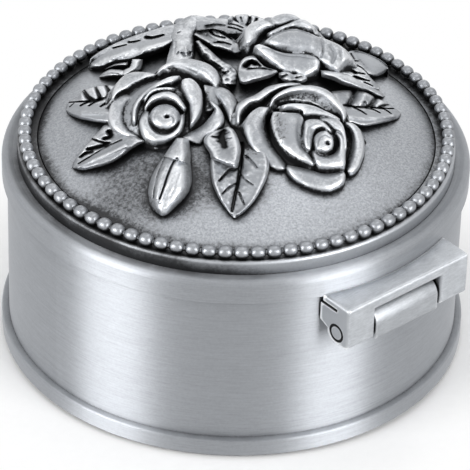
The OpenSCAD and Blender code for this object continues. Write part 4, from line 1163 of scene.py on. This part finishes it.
    add("leaf_back_low", "leaf_pewter", BACK,
        [(2.2, 6.75), (1.0, 6.35), (-0.5, 5.8), (-2, 5.1), (-3.5, 4.4), (-5, 3.6), (-6.5, 2.7), (-8, 1.6),
         (-9.3, 0.5), (-10.4, -0.8)],
        [(2.0, 3.8), (0.2, 3.4), (-1.2, 3.0), (-2.7, 2.6), (-4.3, 2.0), (-5.8, 1.3), (-7.2, 0.6),
         (-8.5, 0.0), (-9.6, -0.8), (-10.5, -1.4)],
        [[3.2, 2.5, 1.8], [2.8, 2.3, 1.7], [2.6, 2.2, 1.7], [2.5, 2.1, 1.6], [2.2, 1.8, 1.4]],
        edge=0.25, low=1.4, close=(0.0, 0.4), seed=53, back=True, stain_and_painted_light=(-0.3, -0.35, -0.2), strokes=[
            ([(-4.9, 2.9), (-4.2, 3.0), (-3.4, 3.3)], 0.2, 0.12, -0.5),
            ([(-7.1, 1.7), (-5.3, 2.4)], 0.14, 0.1, -0.4),
            ([(-2.4, 3.9), (-1.4, 3.9), (0, 4.5)], 0.30, 0.14, -0.8)])
    add("leaf_back_small", "leaf_pewter", BACK,
        [(-4.9, -2.5), (-6.1, -2.35), (-7.3, -2.35), (-8.2, -2.95), (-8.9, -3.8)],
        [(-5.0, -3.9), (-6.2, -3.85), (-7.2, -4.0), (-8.1, -4.15), (-8.8, -4.1)],
        [[1.2, 1.5, 1.2], [1.2, 1.6, 1.2], [1.0, 1.3, 1.0], [0.5, 0.6, 0.5]], edge=0.7, seed=54,
        stain_and_painted_light=(0.3, 0, 0.6), strokes=[
            ([(-8.4, -3.6), (-7.2, -3.2), (-6.0, -3.3)], 0.14, 0.12, -0.2)])
    lobe = leaf("leaf_back_lobe_cast", BACK,
                [(-4.6, -0.8), (-5.6, -0.95), (-6.6, -1.2), (-7.5, -1.75), (-8.2, -2.35)],
                [(-4.7, -1.9), (-5.7, -1.95), (-6.6, -2.05), (-7.4, -2.3), (-8.1, -2.6)],
                [[1.4, 1.7, 1.3], [1.3, 1.6, 1.2], [1.0, 1.3, 1.0], [0.5, 0.6, 0.5]], edge=0.55, seed=64,
                stain_and_painted_light=(0.2, 0, 0.8))
    hook = leaf("hook_stem_cast", BACK,
                [(-4.35, -0.3), (-4.4, -1.1), (-4.6, -2.0), (-5.3, -2.5), (-5.9, -3.6)],
                [(-2.7, -0.3), (-2.65, -1.1), (-2.8, -2.2), (-3.4, -2.9), (-4.6, -3.6)],
                [[2.3, 3.0, 2.3], [2.2, 2.9, 2.2], [1.9, 2.5, 1.9], [1.5, 2.0, 1.5]], edge=0.8,
                close=(0.7, 0.3), seed=65,
                stain_and_painted_light=(0.9, 0, 0.2))
    curl = leaf("curl_centre_cast", REAR,
                [(-2.4, -2.9), (-1.7, -2.5), (-0.9, -2.5), (-0.2, -2.9), (0.5, -2.7), (1.2, -2.9),
                 (1.7, -3.4)],
                [(-2.5, -3.6), (-1.7, -4.3), (-0.9, -4.6), (-0.1, -4.4), (0.5, -4.6), (1.2, -4.5),
                 (1.8, -4.0)],
                [[1.4, 1.8, 1.4], [2.2, 2.8, 1.9], [1.6, 1.5, 1.3], [2.2, 2.7, 1.8], [1.4, 1.7, 1.2]],
                edge=0.6, seed=66,
                grain=0.06, stain_and_painted_light=(0.4, -0.1, 0.5), strokes=[([(-1.9, -3.6), (-1.2, -3.2)], 0.25, 0.2, -0.8),
                                                            ([(0.2, -3.6), (0.9, -3.4)], 0.2, 0.2, -0.6)])
    add("leaf_back_mid", "leaf_pewter", BACK,
        [(4.1, 4.7), (5.2, 5.45), (6.4, 5.7), (7.6, 5.65), (8.7, 5.2), (9.6, 4.5), (10.6, 3.5), (11.6, 3.1)],
        [(4.2, 4.4), (5.2, 3.6), (6.2, 2.9), (7.2, 2.2), (8.4, 1.85), (9.6, 1.4), (10.6, 1.0), (11.6, 1.3)],
        [[2.2, 2.0, 1.8], [2.3, 2.1, 1.9], [2.2, 2.0, 1.9], [1.8, 1.7, 1.6], [1.3, 1.2, 1.0]],
        edge=0.6, seed=55, back=True, grain=0.03, stain_and_painted_light=(-0.3, -0.2, 0, 0.3), marked=0.7, strokes=[
            ([(6.7, 5.5), (7.2, 4.8), (8.0, 4.4), (8.9, 4.2)], 0.20, 0.16, -0.6),
            ([(8.3, 5.3), (9.0, 4.7), (9.8, 4.0)], 0.18, 0.12, -0.5),
            ([(4.7, 4.7), (5.8, 3.9), (6.6, 3.3)], 0.40, 0.35, 0.40),
            ([(6.2, 4.6), (7.4, 3.6), (9.4, 2.6)], 0.45, 0.3, -0.35),
            ([(7.4, 3.1), (8.6, 3.3), (9.8, 2.9)], 0.18, 0.12, -0.45),
            ([(8.4, 2.5), (9.8, 1.9)], 0.3, 0.3, 0.2),
            ([(9.2, 4.9), (10.4, 3.4)], 0.2, 0.2, -0.4)])
    add("main_stem", "rose_pewter", BACK,
        [(3.9, 8.3), (3.0, 7.75), (2.1, 6.9), (1.2, 6.0), (1.15, 4.6), (1.2, 3.0), (1.1, 1.6), (0.9, 0.2),
         (0.75, -1.2), (0.7, -3)],
        [(5.0, 8.4), (6.1, 7.9), (6.3, 7.0), (5.7, 6.0), (5.0, 5.1), (4.75, 4.0), (4.7, 2.6), (4.65, 1),
         (4.6, -0.5), (4.4, -3)],
        [[4.6, 4.7, 4.6, 4.5, 4.4], [3.7, 4.0, 4.0, 3.9, 3.5], [2.7, 3.1, 3.1, 3.0, 2.6],
         [1.9, 2.5, 2.6, 2.5, 1.9],
         [1.5, 2.2, 2.4, 2.2, 1.5], [1.4, 2.1, 2.4, 2.1, 1.4], [1.4, 2.3, 2.6, 2.3, 1.4],
         [1.5, 2.5, 2.8, 2.5, 1.5]],
        edge=0.8, close=(0.0, 0.0), seed=56, grain=0.015, back=True, end_back=True, low=0.2,
        stain_and_painted_light=(-0.2, -0.45, -0.5, -0.3, 0.25),
        marked=0.3, strokes=[
            ([(2.2, 4.6), (3.6, 4.7)], 0.8, 0.6, 0.25),
            ([(2.9, 0.9), (3.3, 0.4)], 0.3, 0.25, -0.6), ([(2.2, 0.6), (2.4, 1.1)], 0.2, 0.16, -0.4),
            ([(3.9, 0.5), (4.1, 1.1)], 0.25, 0.2, -0.5), ([(4.25, 2.6), (4.3, 0.4)], 0.2, 0.2, 0.32),
            ([(3.4, 2.1), (3.5, 1.2)], 0.25, 0.25, 0.3), ([(1.9, 3.0), (1.8, 0.6)], 0.2, 0.15, -0.2),
            ([(2.1, 4.9), (2.4, 5.1)], 0.18, 0.15, -0.35), ([(2.7, 7.2), (2.9, 5.8)], 0.5, 0.4, -0.12)])
    add("side_stem", "rose_pewter", BACK,
        [(4.5, 3.4), (4.9, 1.8), (5.5, 0.6), (6.3, -0.3), (7.4, -1.2), (8.0, -2.6), (8.2, -4.8)],
        [(5.3, 3.7), (6.4, 2.5), (7.4, 1.2), (8.7, -0.3), (10.3, -1.4), (10.9, -2.7), (10.8, -4.8)],
        [[2.4, 2.8, 3.0, 2.8, 2.2], [2.0, 2.6, 2.8, 2.5, 1.9], [1.8, 2.4, 2.5, 2.2, 1.7],
         [1.7, 2.2, 2.4, 2.2, 1.7]],
        edge=1.0, seed=57, grain=0.16, stain_and_painted_light=(0.9, 0.5, 0, -0.1, 0.1), strokes=[
            ([(5.0, 2.6), (5.6, 1.0), (6.6, 0.0)], 0.3, 0.3, -0.5),
            ([(8.3, -1.2), (9.2, -2.0)], 0.3, 0.3, 0.3),
            ([(8.8, -3.0), (9.6, -2.4)], 0.3, 0.2, -0.5), ([(9.9, -1.9), (10.3, -2.4)], 0.25, 0.2, -0.5)])
    add("leaf_back_tip", "leaf_pewter", BACK,
        [(4.6, 8.35), (5.6, 8.15), (6.6, 7.9), (7.6, 7.85), (8.6, 7.9), (9.6, 7.75), (10.6, 7.2),
         (11.6, 6.5), (12.3, 6.0)],
        [(4.8, 5.2), (5.8, 5.4), (6.8, 5.7), (7.7, 5.6), (8.6, 5.3), (9.2, 4.9), (9.9, 4.9), (10.8, 4.9),
         (11.6, 4.6)],
        [[4.5, 3.7, 2.8], [4.0, 3.4, 2.6], [3.6, 3.1, 2.5], [3.3, 2.9, 2.2], [2.8, 2.4, 1.9]],
        edge=0.35, low=2.0, close=(0.0, 0.0), seed=58, back=True, stain_and_painted_light=(-0.4, -0.2, 0.25, 0.6), strokes=[
            ([(9.4, 7.0), (10.4, 6.8), (11.4, 6.3)], 0.14, 0.12, -0.4),
            ([(9.4, 6.3), (10.6, 6.0), (11.3, 5.6)], 0.16, 0.12, -0.4),
            ([(6.2, 6.3), (7.6, 6.7), (8.8, 6.6)], 0.3, 0.2, -0.25)])
    add("leaf_back_veined", "leaf_pewter", BACK,
        [(9.2, 7.8), (9.6, 8.3), (10.5, 8.65), (11.6, 8.85), (12.6, 8.75), (13.6, 8.4), (14.6, 8.0)],
        [(9.6, 6.6), (10.4, 6.8), (11.2, 6.6), (12.0, 6.2), (12.8, 5.8), (13.6, 5.6), (14.4, 5.4)],
        [[4.2, 3.4, 2.6], [4.3, 3.5, 2.6], [4.2, 3.3, 2.4], [3.8, 3.0, 2.2]],
        edge=0.3, low=2.0, close=(0.0, 0.0), seed=59, back=True, grain=0.04, stain_and_painted_light=(-0.3, -0.2, 0.2),
        marked=0.6, strokes=[
            ([(10.15, 8.5), (10.25, 7.8), (10.6, 7.3)], 0.22, 0.14, -0.9),
            ([(12.4, 8.7), (12.4, 7.8), (12.2, 6.9)], 0.20, 0.22, -0.9),
            ([(11.1, 8.4), (11.3, 7.6)], 0.12, 0.12, -0.2), ([(13.4, 8.2), (13.2, 7.0)], 0.2, 0.2, -0.5)])
    for piece, node, slot in made:
        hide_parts(node)


# ----------------------------------------------------------------- fabrics
def closed_grid(name, upper, lower, wrap, material, body):
    """Closed mesh from two sheets of points in mm on one grid; wrap joins the grid's first and last
    column."""
    n, m = upper.shape[:2]
    count = n * m
    faces = []
    columns = m if wrap else m - 1
    for i in range(n - 1):
        for j in range(columns):
            k = (j + 1) % m
            q = (i * m + j, i * m + k, (i + 1) * m + k, (i + 1) * m + j)
            faces += [q, tuple(count + v for v in reversed(q))]
    for j in range(columns):
        k = (j + 1) % m
        faces.append((j, count + j, count + k, k))
        e = (n - 1) * m
        faces.append((e + k, count + e + k, count + e + j, e + j))
    if not wrap:
        for i in range(n - 1):
            faces.append(((i + 1) * m, count + (i + 1) * m, count + i * m, i * m))
            e = m - 1
            faces.append((i * m + e, count + i * m + e, count + (i + 1) * m + e, (i + 1) * m + e))
    mesh = bpy.data.meshes.new(name)
    mesh.from_pydata((np.vstack([upper.reshape(-1, 3), lower.reshape(-1, 3)]) * 0.001).tolist(), [], faces)
    return finish_mesh(name, mesh, material, body)


def finish_mesh(name, mesh, material, body):
    """A closed, smooth piece of this mesh, riding on a body."""
    bm = bmesh.new()
    bm.from_mesh(mesh)
    bmesh.ops.remove_doubles(bm, verts=bm.verts, dist=1e-6)
    bmesh.ops.recalc_face_normals(bm, faces=bm.faces)
    bm.to_mesh(mesh)
    bm.free()
    mesh.polygons.foreach_set("use_smooth", np.ones(len(mesh.polygons), bool))
    mesh.materials.append(material)
    o = link(name, mesh)
    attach(o, body)
    return o


def disc_sheet(name, radius, top, bottom, material, body, round_off=0.25):
    """A disc of cloth between two height functions of x, y, with a rounded cut edge."""
    rings, spokes = 70, 240
    v = np.linspace(0, 2 * math.pi, spokes, endpoint=False)
    u = np.r_[0.004, np.linspace(0.02, 1, rings)]
    R = u[:, None] * radius * (1 + 0.0012 * ripple(30 * np.cos(v), 30 * np.sin(v), 9.0, 5))[None]
    X, Y = R * np.cos(v), R * np.sin(v)
    hi, lo = top(X, Y), bottom(X, Y)
    inset = np.clip((radius - R) / round_off, 0, 1)
    half = 0.5 * (hi - lo) * np.sqrt(np.clip(1 - (1 - inset) ** 2, 0.02, 1))
    mid = 0.5 * (hi + lo)
    return closed_grid(name, np.stack([X, Y, mid + half], -1), np.stack([X, Y, mid - half], -1), True,
                       material, body)


def make_fabrics():
    """The velvet of wall and lid, the felt and the floor's cushion, each in place of its plain solid."""
    cloth = velvet("velvet")
    wool = felt("felt")

    # velvet strip on card inside the wall; its ends meet under the hinge, and its top edge is turned over
    bottom, top, outer = 4.10, 21.75, 30.84
    middle_r, narrowest, length, card = 30.4, 30.14, 191.0, 0.56
    turns = np.linspace(0, 1, 420)
    v = math.pi / 2 + 0.004 + turns * (2 * math.pi - 0.008)
    w = np.linspace(0, 1, 60)
    z = bottom + (top - bottom) * w
    Z = z[:, None] + 0 * v[None]
    arc_x = middle_r * v[None] + 0 * Z
    pile = 0.035 * ripple(arc_x, Z, 1.2, 71) + 0.05 * ripple(arc_x, Z, 11.0, 72)
    lip = np.clip(np.minimum(Z - bottom, top - Z) / 0.45, 0, 1)
    thick = card * np.sqrt(np.clip(1 - (1 - lip) ** 2, 0.06, 1))
    ends = np.clip(np.minimum(turns, 1 - turns) * length / 0.4, 0, 1)
    thick = thick * (0.45 + 0.55 * np.sqrt(1 - (1 - ends) ** 2))[None]
    r_in = outer - thick - 0.08 + pile * lip
    r_in = np.clip(r_in, narrowest, outer - 0.1)
    inner = np.stack([r_in * np.cos(v), r_in * np.sin(v), Z], -1)
    back = np.stack([outer * np.cos(v) + 0 * Z, outer * np.sin(v) + 0 * Z, Z], -1)
    strip = closed_grid("wall_velvet", inner, back, False, cloth, "box")
    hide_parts("wall_lining")

    # velvet disc pressed up into the lid's dome, with small tucks at its rim
    cap_r, face_ball, back_ball = 26.62, 65.30, 65.80

    def under_dome(x, y, ball):
        return -DOME_DROP + np.sqrt(ball ** 2 - x * x - y * y)

    def cap_face(x, y):
        a = np.arctan2(y, x)
        r = np.hypot(x, y)
        tuck = np.clip((r - 19.0) / 7.5, 0, 1) ** 1.5
        fold = np.sin(23 * a + 1.2 * np.sin(3 * a)) * 0.5 + 0.5 * np.sin(37 * a + 2.0)
        return under_dome(x, y, face_ball) + 0.05 * ripple(x, y, 6.0, 73) + 0.10 * tuck * fold

    cap = disc_sheet("lid_velvet", cap_r, lambda x, y: under_dome(x, y, back_ball), cap_face, cloth, "lid")
    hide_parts("lid_lining")

    # felt disc glued in the base's recess
    felt_r, felt_top, felt_low = 29.66, 1.13, 0.05
    under = disc_sheet("base_felt_disc", felt_r, lambda x, y: felt_top + 0.015 * ripple(x, y, 2.0, 74),
                       lambda x, y: felt_low + 0.02 * ripple(x, y, 0.8, 75), wool, "box", round_off=0.4)
    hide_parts("base_felt")

    pad = floor_cushion(cloth)
    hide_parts("floor_pad")


def floor_cushion(material):
    """Velvet over wadding on a card disc, blown up by a cloth simulation at twenty times its size."""
    big = 20.0
    radius, low, high, cap = 29.4, 4.10, 5.35, 6.42
    floor_z, widest = 4.08, 29.75      # the base's floor, and the most that the lining leaves room for
    rings, spokes = 34, 150
    u = np.linspace(0, 1, rings + 1)[1:]
    v = np.linspace(0, 2 * math.pi, spokes, endpoint=False)
    R = radius * u[:, None] + 0 * v[None]
    inset = np.clip((radius - R) / 1.0, 0, 1)
    half = 0.5 * (high - low) * np.sqrt(np.clip(1 - (1 - inset) ** 2, 0, 1))
    mid = 0.5 * (high + low)
    X, Y = R * np.cos(v), R * np.sin(v)
    upper, lower = np.stack([X, Y, mid + half], -1), np.stack([X, Y, mid - half], -1)
    verts = [(0, 0, high), (0, 0, low)] + upper.reshape(-1, 3).tolist() + lower.reshape(-1,
        3)[:-spokes].tolist()
    n_up = rings * spokes

    def up(i, j):
        return 2 + i * spokes + j % spokes

    def down(i, j):
        return up(i, j) if i == rings - 1 else 2 + n_up + i * spokes + j % spokes

    faces = []
    for j in range(spokes):
        faces += [(0, up(0, j), up(0, j + 1)), (1, down(0, j + 1), down(0, j))]
        for i in range(rings - 1):
            faces += [(up(i, j), up(i + 1, j), up(i + 1, j + 1), up(i, j + 1)),
                      (down(i, j), down(i, j + 1), down(i + 1, j + 1), down(i + 1, j))]
    start = np.array(verts)
    mesh = bpy.data.meshes.new("cushion_trial")
    mesh.from_pydata((start * 0.001 * big).tolist(), [], faces)
    trial = bpy.data.objects.new("cushion_trial", mesh)
    bpy.context.scene.collection.objects.link(trial)
    held = trial.vertex_groups.new(name="held")
    r = np.hypot(start[:, 0], start[:, 1])
    fixed = np.nonzero((start[:, 2] < low + 0.02) | (r > radius - 0.3))[0]
    held.add([int(i) for i in fixed], 1.0, "REPLACE")
    cloth = trial.modifiers.new("cloth", "CLOTH")
    cs = cloth.settings
    cs.quality = 6
    cs.mass = 0.25
    cs.tension_stiffness = 12
    cs.compression_stiffness = 12
    cs.bending_stiffness = 0.3
    cs.use_pressure = True
    cs.uniform_pressure_force = 4.0
    cs.vertex_group_mass = "held"
    cs.effector_weights.gravity = 0.0
    scene = bpy.context.scene
    for frame_number in range(1, 21):
        scene.frame_set(frame_number)
    shaped = trial.evaluated_get(bpy.context.evaluated_depsgraph_get()).to_mesh()
    moved = np.empty(len(shaped.vertices) * 3)
    shaped.vertices.foreach_get("co", moved)
    moved = moved.reshape(-1, 3) * 1000 / big
    scene.frame_set(1)
    bpy.data.objects.remove(trial)
    step = moved - start
    far = np.linalg.norm(step, axis=1)
    room = 1.0
    start = start + step * (np.minimum(far, room) / np.maximum(far, 1e-9))[:, None]
    print("cushion rose", float(far.max()), "mm, kept to", room)
    # seam round the rim, pile, and a soft uneven fill
    r = np.hypot(start[:, 0], start[:, 1])
    top = start[:, 2] > mid
    start[:, 2] += np.where(top, (0.06 * ripple(start[:, 0], start[:, 1], 9.0, 76)
                                  + 0.03 * ripple(start[:, 0], start[:, 1], 2.2,
                                      77)) * np.clip((radius - r) / 2, 0, 1), 0)
    start[:, 2] = np.clip(start[:, 2], floor_z, cap)
    out = np.minimum(r, widest) / np.maximum(r, 1e-9)
    start[:, 0] *= out
    start[:, 1] *= out
    mesh = bpy.data.meshes.new("floor_cushion")
    mesh.from_pydata((start * 0.001).tolist(), [], faces)
    o = finish_mesh("floor_cushion", mesh, material, "box")
    fine = o.modifiers.new("fine", "SUBSURF")
    fine.levels = fine.render_levels = 1
    return o


# ----------------------------------------------------------------- hinge
def beads_cast(material):
    """The beaded wire as it was cast: beads a little flattened that all but touch, no two quite alike."""
    co = 1000 * np.array([v.co[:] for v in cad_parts["bead_ring"].data.vertices])
    count, half = 85, 0.91
    ring = np.hypot(co[:, 0], co[:, 1]).max() - half
    middle = co[:, 2].min() + half
    steps, round_steps, exponent = 18, 22, 2.3
    neck = 0.36                # thickness between two beads, as a share of a bead's
    pitch = 2 * math.pi * ring / count
    rng = np.random.default_rng(85)
    u = 0.5 * np.sin(0.5 * math.pi * (np.arange(steps) / steps * 2 - 1))
    turn, swell = [], []
    for k in range(count):
        long_half = 1.05 + 0.012 * rng.standard_normal()
        tall = 1 + 0.025 * rng.standard_normal()
        shape = np.clip(1 - (np.abs(u * pitch) / long_half) ** exponent, 0, 1) ** (1 / exponent)
        turn.append(k + u)
        swell.append(np.maximum(shape * tall, neck))
    turn = np.concatenate(turn) / count * 2 * math.pi
    swell = np.concatenate(swell)[:, None]
    th = np.arange(round_steps) / round_steps * 2 * math.pi
    c, z = np.cos(th)[None], np.sin(th)[None]
    r = ring + 0.90 * swell * np.sign(c) * np.abs(c) ** 0.9
    up = middle - 0.28 * (1 - swell) + np.where(z > 0, 0.80, 0.91) * swell * np.sign(z) * np.abs(z) ** 0.95
    points = np.stack([r * np.cos(turn)[:, None], r * np.sin(turn)[:, None], up + 0 * r], 2).reshape(-1,
        3) * 0.001
    n, m = len(turn), round_steps
    faces = [(i * m + j, i * m + (j + 1) % m, (i + 1) % n * m + (j + 1) % m, (i + 1) % n * m + j)
             for i in range(n) for j in range(m)]
    mesh = bpy.data.meshes.new("bead_ring_cast")
    mesh.from_pydata(points.tolist(), [], faces)
    o = finish_mesh("bead_ring_cast", mesh, material, "lid")
    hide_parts("bead_ring")
    return o


def worn_edges(node, name, material, body, width, front=None):
    """The node's own form with its sharp edges rounded off."""
    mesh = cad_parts[node].data.copy()
    mesh.name = name
    bm = bmesh.new()
    bm.from_mesh(mesh)
    bmesh.ops.remove_doubles(bm, verts=bm.verts, dist=2e-6)
    bmesh.ops.dissolve_limit(bm, angle_limit=math.radians(1.0), verts=bm.verts, edges=bm.edges)
    sharp = [e for e in bm.edges if len(e.link_faces) == 2 and e.calc_face_angle(0) > math.radians(32)]
    if front:
        # only the long edges on the outside, which hands and files reach
        shortest, top_z = 0.0019, 0.0263
        sharp = [e for e in sharp if e.is_convex and e.calc_length() > shortest
                 and (min(v.co.y for v in e.verts) > front or min(v.co.z for v in e.verts) > top_z)]
    bmesh.ops.bevel(bm, geom=sharp, offset=width, segments=4, profile=0.5, affect="EDGES",
                    clamp_overlap=not front)
    bmesh.ops.triangulate(bm, faces=bm.faces)
    bmesh.ops.recalc_face_normals(bm, faces=bm.faces)
    bm.to_mesh(mesh)
    bm.free()
    mesh.materials.clear()
    mesh.materials.append(material)
    o = link(name, mesh)
    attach(o, body)
    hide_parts(node)
    return o


# ----------------------------------------------------------------- floor, light
def make_stage():
    """White paper that fades into a white surround, and a world that reflects as white."""
    half = 3.0
    fade_from, fade_to = 0.034, 0.052  # from the contact shadow out to plain white
    mesh = bpy.data.meshes.new("floor")
    mesh.from_pydata([(-half, -half, 0), (half, -half, 0), (half, half, 0), (-half, half, 0)], [],
                     [(0, 1, 2, 3)])
    floor = link("floor", mesh)
    p = Paint("floor_paper")
    o = p.place()
    tone = p.mix(p.noise(o, 700, 3.0), (0.86, 0.86, 0.86, 1.0), (0.9, 0.9, 0.9, 1.0))
    matt = p.node("ShaderNodeBsdfDiffuse")
    p.put(matt.inputs["Color"], tone)
    glow = p.node("ShaderNodeEmission")
    glow.inputs["Strength"].default_value = 1.0
    path = p.node("ShaderNodeLightPath")
    seen = p.most(path.outputs["Is Glossy Ray"], path.outputs["Is Transmission Ray"])
    far = p.span(p.radius(p.parts(o)), fade_from, fade_to)
    straight = p.times(path.outputs["Is Camera Ray"], far)
    share = p.most(seen, straight)
    m = p.node("ShaderNodeMixShader")
    p.put(m.inputs[0], share)
    p.put(m.inputs[1], matt.outputs[0])
    p.put(m.inputs[2], glow.outputs[0])
    p.put(p.out.inputs[0], m.outputs[0])
    mesh.materials.append(p.material)

    world = bpy.data.worlds.new("studio")
    bpy.context.scene.world = world
    world.use_nodes = True
    t = world.node_tree
    t.nodes.clear()
    out = t.nodes.new("ShaderNodeOutputWorld")
    back = t.nodes.new("ShaderNodeBackground")
    path = t.nodes.new("ShaderNodeLightPath")
    seen = path.outputs["Is Camera Ray"]
    for ray in ("Is Glossy Ray", "Is Transmission Ray"):
        either = t.nodes.new("ShaderNodeMath")
        either.operation = "MAXIMUM"
        t.links.new(seen, either.inputs[0])
        t.links.new(path.outputs[ray], either.inputs[1])
        seen = either.outputs[0]
    level = t.nodes.new("ShaderNodeMapRange")
    level.inputs["To Min"].default_value = 0.45
    level.inputs["To Max"].default_value = 1.0
    t.links.new(seen, level.inputs["Value"])
    t.links.new(level.outputs[0], back.inputs["Strength"])
    back.inputs["Color"].default_value = (1.0, 1.0, 1.0, 1.0)
    t.links.new(back.outputs[0], out.inputs[0])


def make_lamp(name, azimuth, elevation, distance, width, height, power):
    """Azimuth in degrees from the camera's direction, to the right as the camera sees it."""
    a, e = math.radians(azimuth), math.radians(elevation)
    d = np.array([math.sin(a) * math.cos(e), -math.cos(a) * math.cos(e), math.sin(e)])
    place = TURN @ (d * distance) + np.array([0, 0, 0.02])
    lamp = bpy.data.lights.new(name, "AREA")
    lamp.shape = "RECTANGLE"
    lamp.size = width
    lamp.size_y = height
    lamp.energy = power
    o = bpy.data.objects.new(name, lamp)
    z = TURN @ d
    x = np.cross([0, 0, 1.0], z)
    x /= np.linalg.norm(x)
    y = np.cross(z, x)
    o.matrix_world = placed(np.stack([x, y, z], 1), place)
    bpy.context.scene.collection.objects.link(o)


DRUM_NODES = ("base_plate", "side_wall", "lid_hoop", "inner_collar")
HINGE_NODES = ("hinge_bracket", "hinge_knuckle", "hinge_pin")
# name, azimuth, elevation, distance, width, height, power
LAMPS = (
    ("lamp_left", -55, 20, 0.62, 0.35, 0.46, 3.4),
    ("lamp_right", 48, 20, 0.62, 0.33, 0.46, 3.1),
    ("lamp_glare", 151, 58, 0.60, 0.12, 0.12, 0.24),
    ("lamp_glance", -128, 44, 0.62, 0.22, 0.18, 0.12),
    ("lamp_over", 180, 80, 0.60, 0.34, 0.34, 0.30),
    ("lamp_behind", 178, 13, 0.80, 0.50, 0.25, 0.5),
)

make_camera()
make_stage()
for lamp in LAMPS:
    make_lamp(*lamp)
all_flowers()
make_fabrics()
filed = hinge_metal("hinge_pewter")
worn_edges("hinge_bracket", "hinge_bracket_filed", filed, "lid", 0.00042, front=0.0361)
# the knuckle has the same finish drawn darker, at level 0.8: painted shade
worn_edges("hinge_knuckle", "hinge_knuckle_filed", hinge_metal("knuckle_pewter", 0.8), "box", 0.0002)
drum = brushed("brushed_pewter")
casting = cast("cast_pewter")
beads = beaded("bead_pewter")
beads_cast(beads)
metals = {**dict.fromkeys(DRUM_NODES, drum), **dict.fromkeys(HINGE_NODES, filed), "bead_ring": beads}
for name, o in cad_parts.items():
    use = metals.get(name, casting)
    for s in o.material_slots:
        s.material = use
    if not o.material_slots:
        o.data.materials.append(use)

bpy.context.scene.view_settings.view_transform = "Standard"
